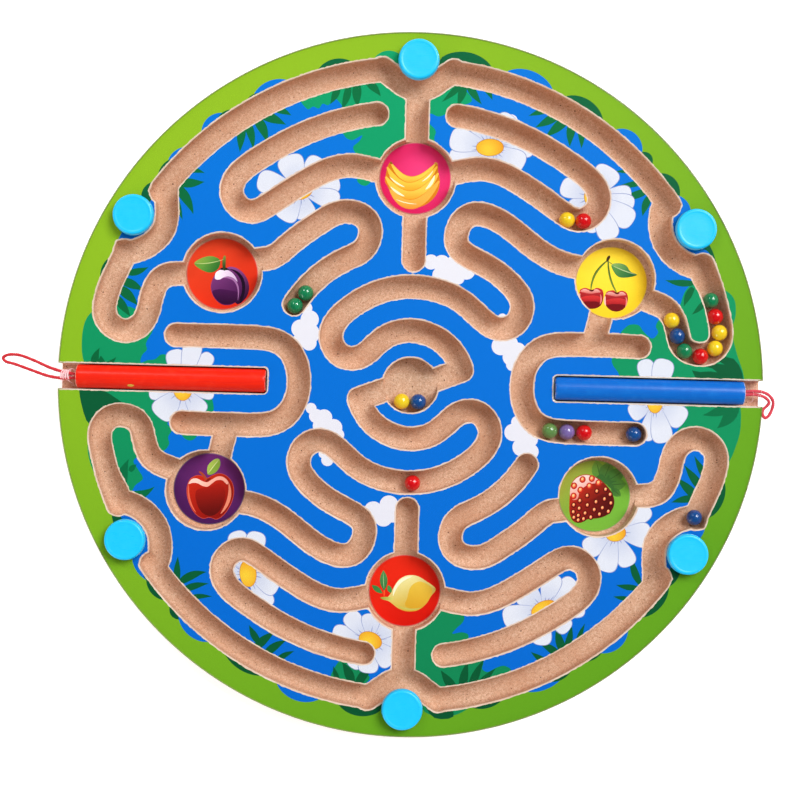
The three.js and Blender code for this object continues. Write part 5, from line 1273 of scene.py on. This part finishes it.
def sweep(path, radius, lobes=0, twist=0.0, ring=18, step=0.28, depth=0.16, taper=0.0, seed=0.0):
    """(vertices, faces) of a closed tube along a smooth path, with a lobed section that turns as it goes."""
    line = centripetal(path, 24)
    seg = np.linalg.norm(np.diff(line, axis=0), axis=1)
    s = np.concatenate([[0], np.cumsum(seg)])
    n = max(6, int(s[-1] / step))
    u = np.linspace(0, s[-1], n)
    c = np.stack([np.interp(u, s, line[:, k]) for k in range(3)], 1)
    t = np.gradient(c, axis=0)
    t /= np.linalg.norm(t, axis=1)[:, None]
    nrm = np.cross(t[0], (0, 0, 1.0))
    if np.linalg.norm(nrm) < 1e-3:
        nrm = np.cross(t[0], (0, 1.0, 0))
    nrm /= np.linalg.norm(nrm)
    a = np.arange(ring) * 2 * math.pi / ring
    verts = []
    for k in range(n):
        nrm = nrm - t[k] * (nrm @ t[k])
        nrm /= np.linalg.norm(nrm)
        b = np.cross(t[k], nrm)
        r = radius * (1 - taper * u[k] / s[-1])
        shape = r * (1 + depth * np.abs(np.cos(lobes * 0.5 * (a - twist * u[k]))) - depth * 0.55) if lobes else np.full(ring, r)
        shape = shape * (1 + 0.05 * math.sin(u[k] * 1.9 + seed))
        verts.append(c[k] + np.outer(np.cos(a) * shape, nrm) + np.outer(np.sin(a) * shape, b))
    verts = np.vstack(verts)
    faces = [(k * ring + i, k * ring + (i + 1) % ring, (k + 1) * ring + (i + 1) % ring, (k + 1) * ring + i) for k in range(n - 1) for i in range(ring)]
    faces.append(tuple(range(ring))[::-1])
    faces.append(tuple(range((n - 1) * ring, n * ring)))
    return verts, faces


def build_cords():
    O = PEN_OUT
    paths = {
        "red": [(O - .25, .75, 0), (O + .6, .75, 0), (O + 6, 1.1, .2), (O + 12, .4, .8), (O + 20, -2.2, 1.6), (O + 26.5, -4.4, 2.2), (O + 30.4, -5.5, 2.4), (O + 31.3, -6.9, 2.5), (O + 29.6, -8.1, 2.5), (O + 25, -8.3, 2.3), (O + 18.5, -6.2, 1.8), (O + 11.5, -3.2, 1.0), (O + 6, -1.6, .3), (O + .6, -.75, 0), (O - .25, -.75, 0)],
        "blue": [(O - .25, .75, 0), (O + .6, .75, 0), (O + 4, .95, .1), (O + 8, .8, .1), (O + 11.2, -.6, -.3), (O + 13.1, -3.2, -.8), (O + 12.8, -6.6, -1.4), (O + 11.5, -9.4, -1.8), (O + 10.2, -10.3, -2.0), (O + 9.1, -9.1, -1.9), (O + 9.0, -6.9, -1.6), (O + 10.5, -5.2, -1.2), (O + 11.4, -3.6, -.9), (O + 9.6, -1.6, -.6), (O + 5, -.35, -.2), (O + .6, -.75, 0), (O - .25, -.75, 0)],
    }
    for name, side in (("red", -1), ("blue", 1)):
        def place(v):
            v = np.array(v, float)
            return np.column_stack([side * v[:, 0], side * v[:, 1], v[:, 2] + PEN_Z])
        v, f = sweep(paths[name], 0.62, 4, 1.9, 20, 0.25, 0.34)
        ob = new_mesh("pen_%s_cord_braid" % name, place(v), f, 60)
        bm = bmesh.new()
        bm.from_mesh(ob.data)
        bmesh.ops.recalc_face_normals(bm, faces=bm.faces)
        bm.to_mesh(ob.data)
        bm.free()
        done(ob, "cord_" + name, "cord", CORD[name], "pen_%s_cord" % name)
        # the two ends held inside the pen's bore, up to the hinge
        sv, sf = [], []
        for y in (.75, -.75):
            v, f = sweep([(O - 4, y * 1.2, 0), (O - 2, y * 1.08, 0), (O - .8, y, 0), (O + .25, y, 0)], 0.6, 4, 1.9, 20, 0.25, 0.34)
            sf += [tuple(i + sum(map(len, sv)) for i in q) for q in f]
            sv.append(v)
        stub = new_mesh("pen_%s_cord_ends" % name, place(np.vstack(sv)), sf, 60)
        bm = bmesh.new()
        bm.from_mesh(stub.data)
        bmesh.ops.recalc_face_normals(bm, faces=bm.faces)
        bm.to_mesh(stub.data)
        bm.free()
        done(stub, "pen_" + name, "cord", CORD[name])
        # glued and frayed where the strands are knotted at the tail; clear of the pen when the loop swings up
        rng = np.random.default_rng(7 if name == "red" else 9)
        V, F, off = [], [], 0

        def add(v, f):
            nonlocal off
            V.append(v)
            F.extend([tuple(i + off for i in q) for q in f])
            off += len(v)
        k0 = O + (3.5 if name == "red" else 4.4)
        for j in range(4 if name == "red" else 0):
            cx = k0 + 0.95 * j
            a = np.linspace(0, 2 * math.pi * 1.06, 14)
            loop = [(cx + 0.5 * math.sin(t * 1.0 + j) + 0.2 * t / 6, (1.7 + 0.2 * math.sin(3 * t + 2 * j)) * math.cos(t + 0.8 * j) - 0.5, 0.1 + 0.95 * math.sin(t + 0.8 * j)) for t in a]
            add(*sweep(loop, 0.36, 3, 2.6, 12, 0.25, 0.3, seed=j))
        for j in range(22 if name == "red" else 9):
            x0, y0, z0 = k0 + rng.uniform(-0.6, 3.4), rng.uniform(-1.6, 1.6), rng.uniform(-0.4, 1.0)
            l = rng.uniform(1.6, 4.6)
            a = rng.uniform(0, 2 * math.pi)
            p = [(x0, y0, z0)]
            for m in range(3):
                a += rng.uniform(-0.8, 0.8)
                p.append((min(max(p[-1][0] + l / 3 * math.cos(a), O + 0.9), O + 7.2), float(np.clip(p[-1][1] + l / 3 * math.sin(a), -3.6, 3.6)), float(np.clip(p[-1][2] + rng.uniform(-0.5, 0.6), -1.4, 2.0))))
            p = [(x, y, min(z, 0.42 * (x - O) - 0.25)) for x, y, z in p]
            add(*sweep(p, 0.085, 0, 0, 6, 0.35, taper=0.5))
        if name == "red":
            add(*sweep([(O + 4.4, 1.6, 1.1), (O + 2.6, 2.8, 0.7), (O + 1.4, 3.6, 0.2), (O + 1.9, 4.2, 0.3)], 0.1, 0, 0, 6, 0.3, taper=0.4))
            add(*sweep([(O + 4.0, -1.8, 0.8), (O + 2.6, -3.0, 0.6), (O + 1.5, -2.7, 0.2), (O + 1.2, -1.5, 0.1)], 0.16, 0, 0, 8, 0.3, taper=0.4))
        ob = new_mesh("pen_%s_cord_fray" % name, place(np.vstack(V)), F, 60)
        bm = bmesh.new()
        bm.from_mesh(ob.data)
        bmesh.ops.recalc_face_normals(bm, faces=bm.faces)
        bm.to_mesh(ob.data)
        bm.free()
        done(ob, "cord_" + name, "cord", FRAY)


build_board()
build_sheet()
for disc_name, (dx, dy) in DISCS.items():
    build_disc(disc_name, dx, dy)
build_cover()
build_fasteners()
build_balls()
build_pens()
build_cords()

# ------------------------------------------------------- floor, light, camera
scene = bpy.context.scene
bpy.ops.mesh.primitive_plane_add(size=6.0, location=(0, 0, -0.0002))
floor = bpy.context.object
floor.name = "studio_floor"
fm = Mat("studio_floor")
floor.data.materials.append(fm.principled(fm.mix(fm.ramp(fm.noise(0.004, 2), [(0.3, 0.0), (0.8, 0.3)]), (0.90, 0.90, 0.90, 1), (0.86, 0.86, 0.87, 1)), 0.9, Emission_Color=(1, 1, 1, 1), Emission_Strength=0.55))

world = bpy.data.worlds.new("studio")
scene.world = world
world.use_nodes = True
world.node_tree.nodes["Background"].inputs[0].default_value = (1.0, 1.0, 1.0, 1)
rays = world.node_tree.nodes.new("ShaderNodeLightPath")
lift = world.node_tree.nodes.new("ShaderNodeMath")  # white behind the floor's edge, dimmer as a lamp
lift.operation = "MULTIPLY_ADD"
lift.inputs[1].default_value = 0.60
lift.inputs[2].default_value = 0.40
world.node_tree.links.new(rays.outputs["Is Camera Ray"], lift.inputs[0])
world.node_tree.links.new(lift.outputs[0], world.node_tree.nodes["Background"].inputs[1])
world.cycles_visibility.glossy = False  # the studio's ceiling is dark, so the cover and lacquer only mirror the lamps


def area(name, loc, target, size, watts, size_y=None):
    light = bpy.data.lights.new(name, "AREA")
    light.energy = watts
    light.size = size
    if size_y:
        light.shape = "RECTANGLE"
        light.size_y = size_y
    ob = bpy.data.objects.new(name, light)
    scene.collection.objects.link(ob)
    ob.location = loc
    d = Vector(target) - Vector(loc)
    ob.rotation_euler = d.to_track_quat("-Z", "Y").to_euler()
    return ob


area("key", (1.70, 1.50, 2.65), (0, 0, 0), 1.8, 117.0)
spark = area("key_left", (-0.42, 0.62, 0.80), (0, 0, 0), 0.16, 1.5)
# this small lamp is for the highlights on the balls: the flat cover does not mirror it
skips = bpy.data.collections.new("key_left_skips")
skips.objects.link(bpy.data.objects["cover_clear"])
skips.collection_objects[0].light_linking.link_state = "EXCLUDE"
spark.light_linking.receiver_collection = skips
area("fill", (-2.2, -2.2, 0.83), (0, 0, 0), 1.5, 30.0)  # low, for the rim only

cam = bpy.data.cameras.new("camera")
cam_ob = bpy.data.objects.new("camera", cam)
scene.collection.objects.link(cam_ob)
cam.sensor_width = 36
cam.lens = 63.4
cam.clip_start = 0.01
cam_ob.location = (-0.00426, -0.00667, 0.612)
cam_ob.rotation_euler = (0, 0, math.radians(1.5))
scene.camera = cam_ob
scene.view_settings.view_transform = "Standard"
scene.view_settings.look = "None"
scene.view_settings.exposure = 0.0
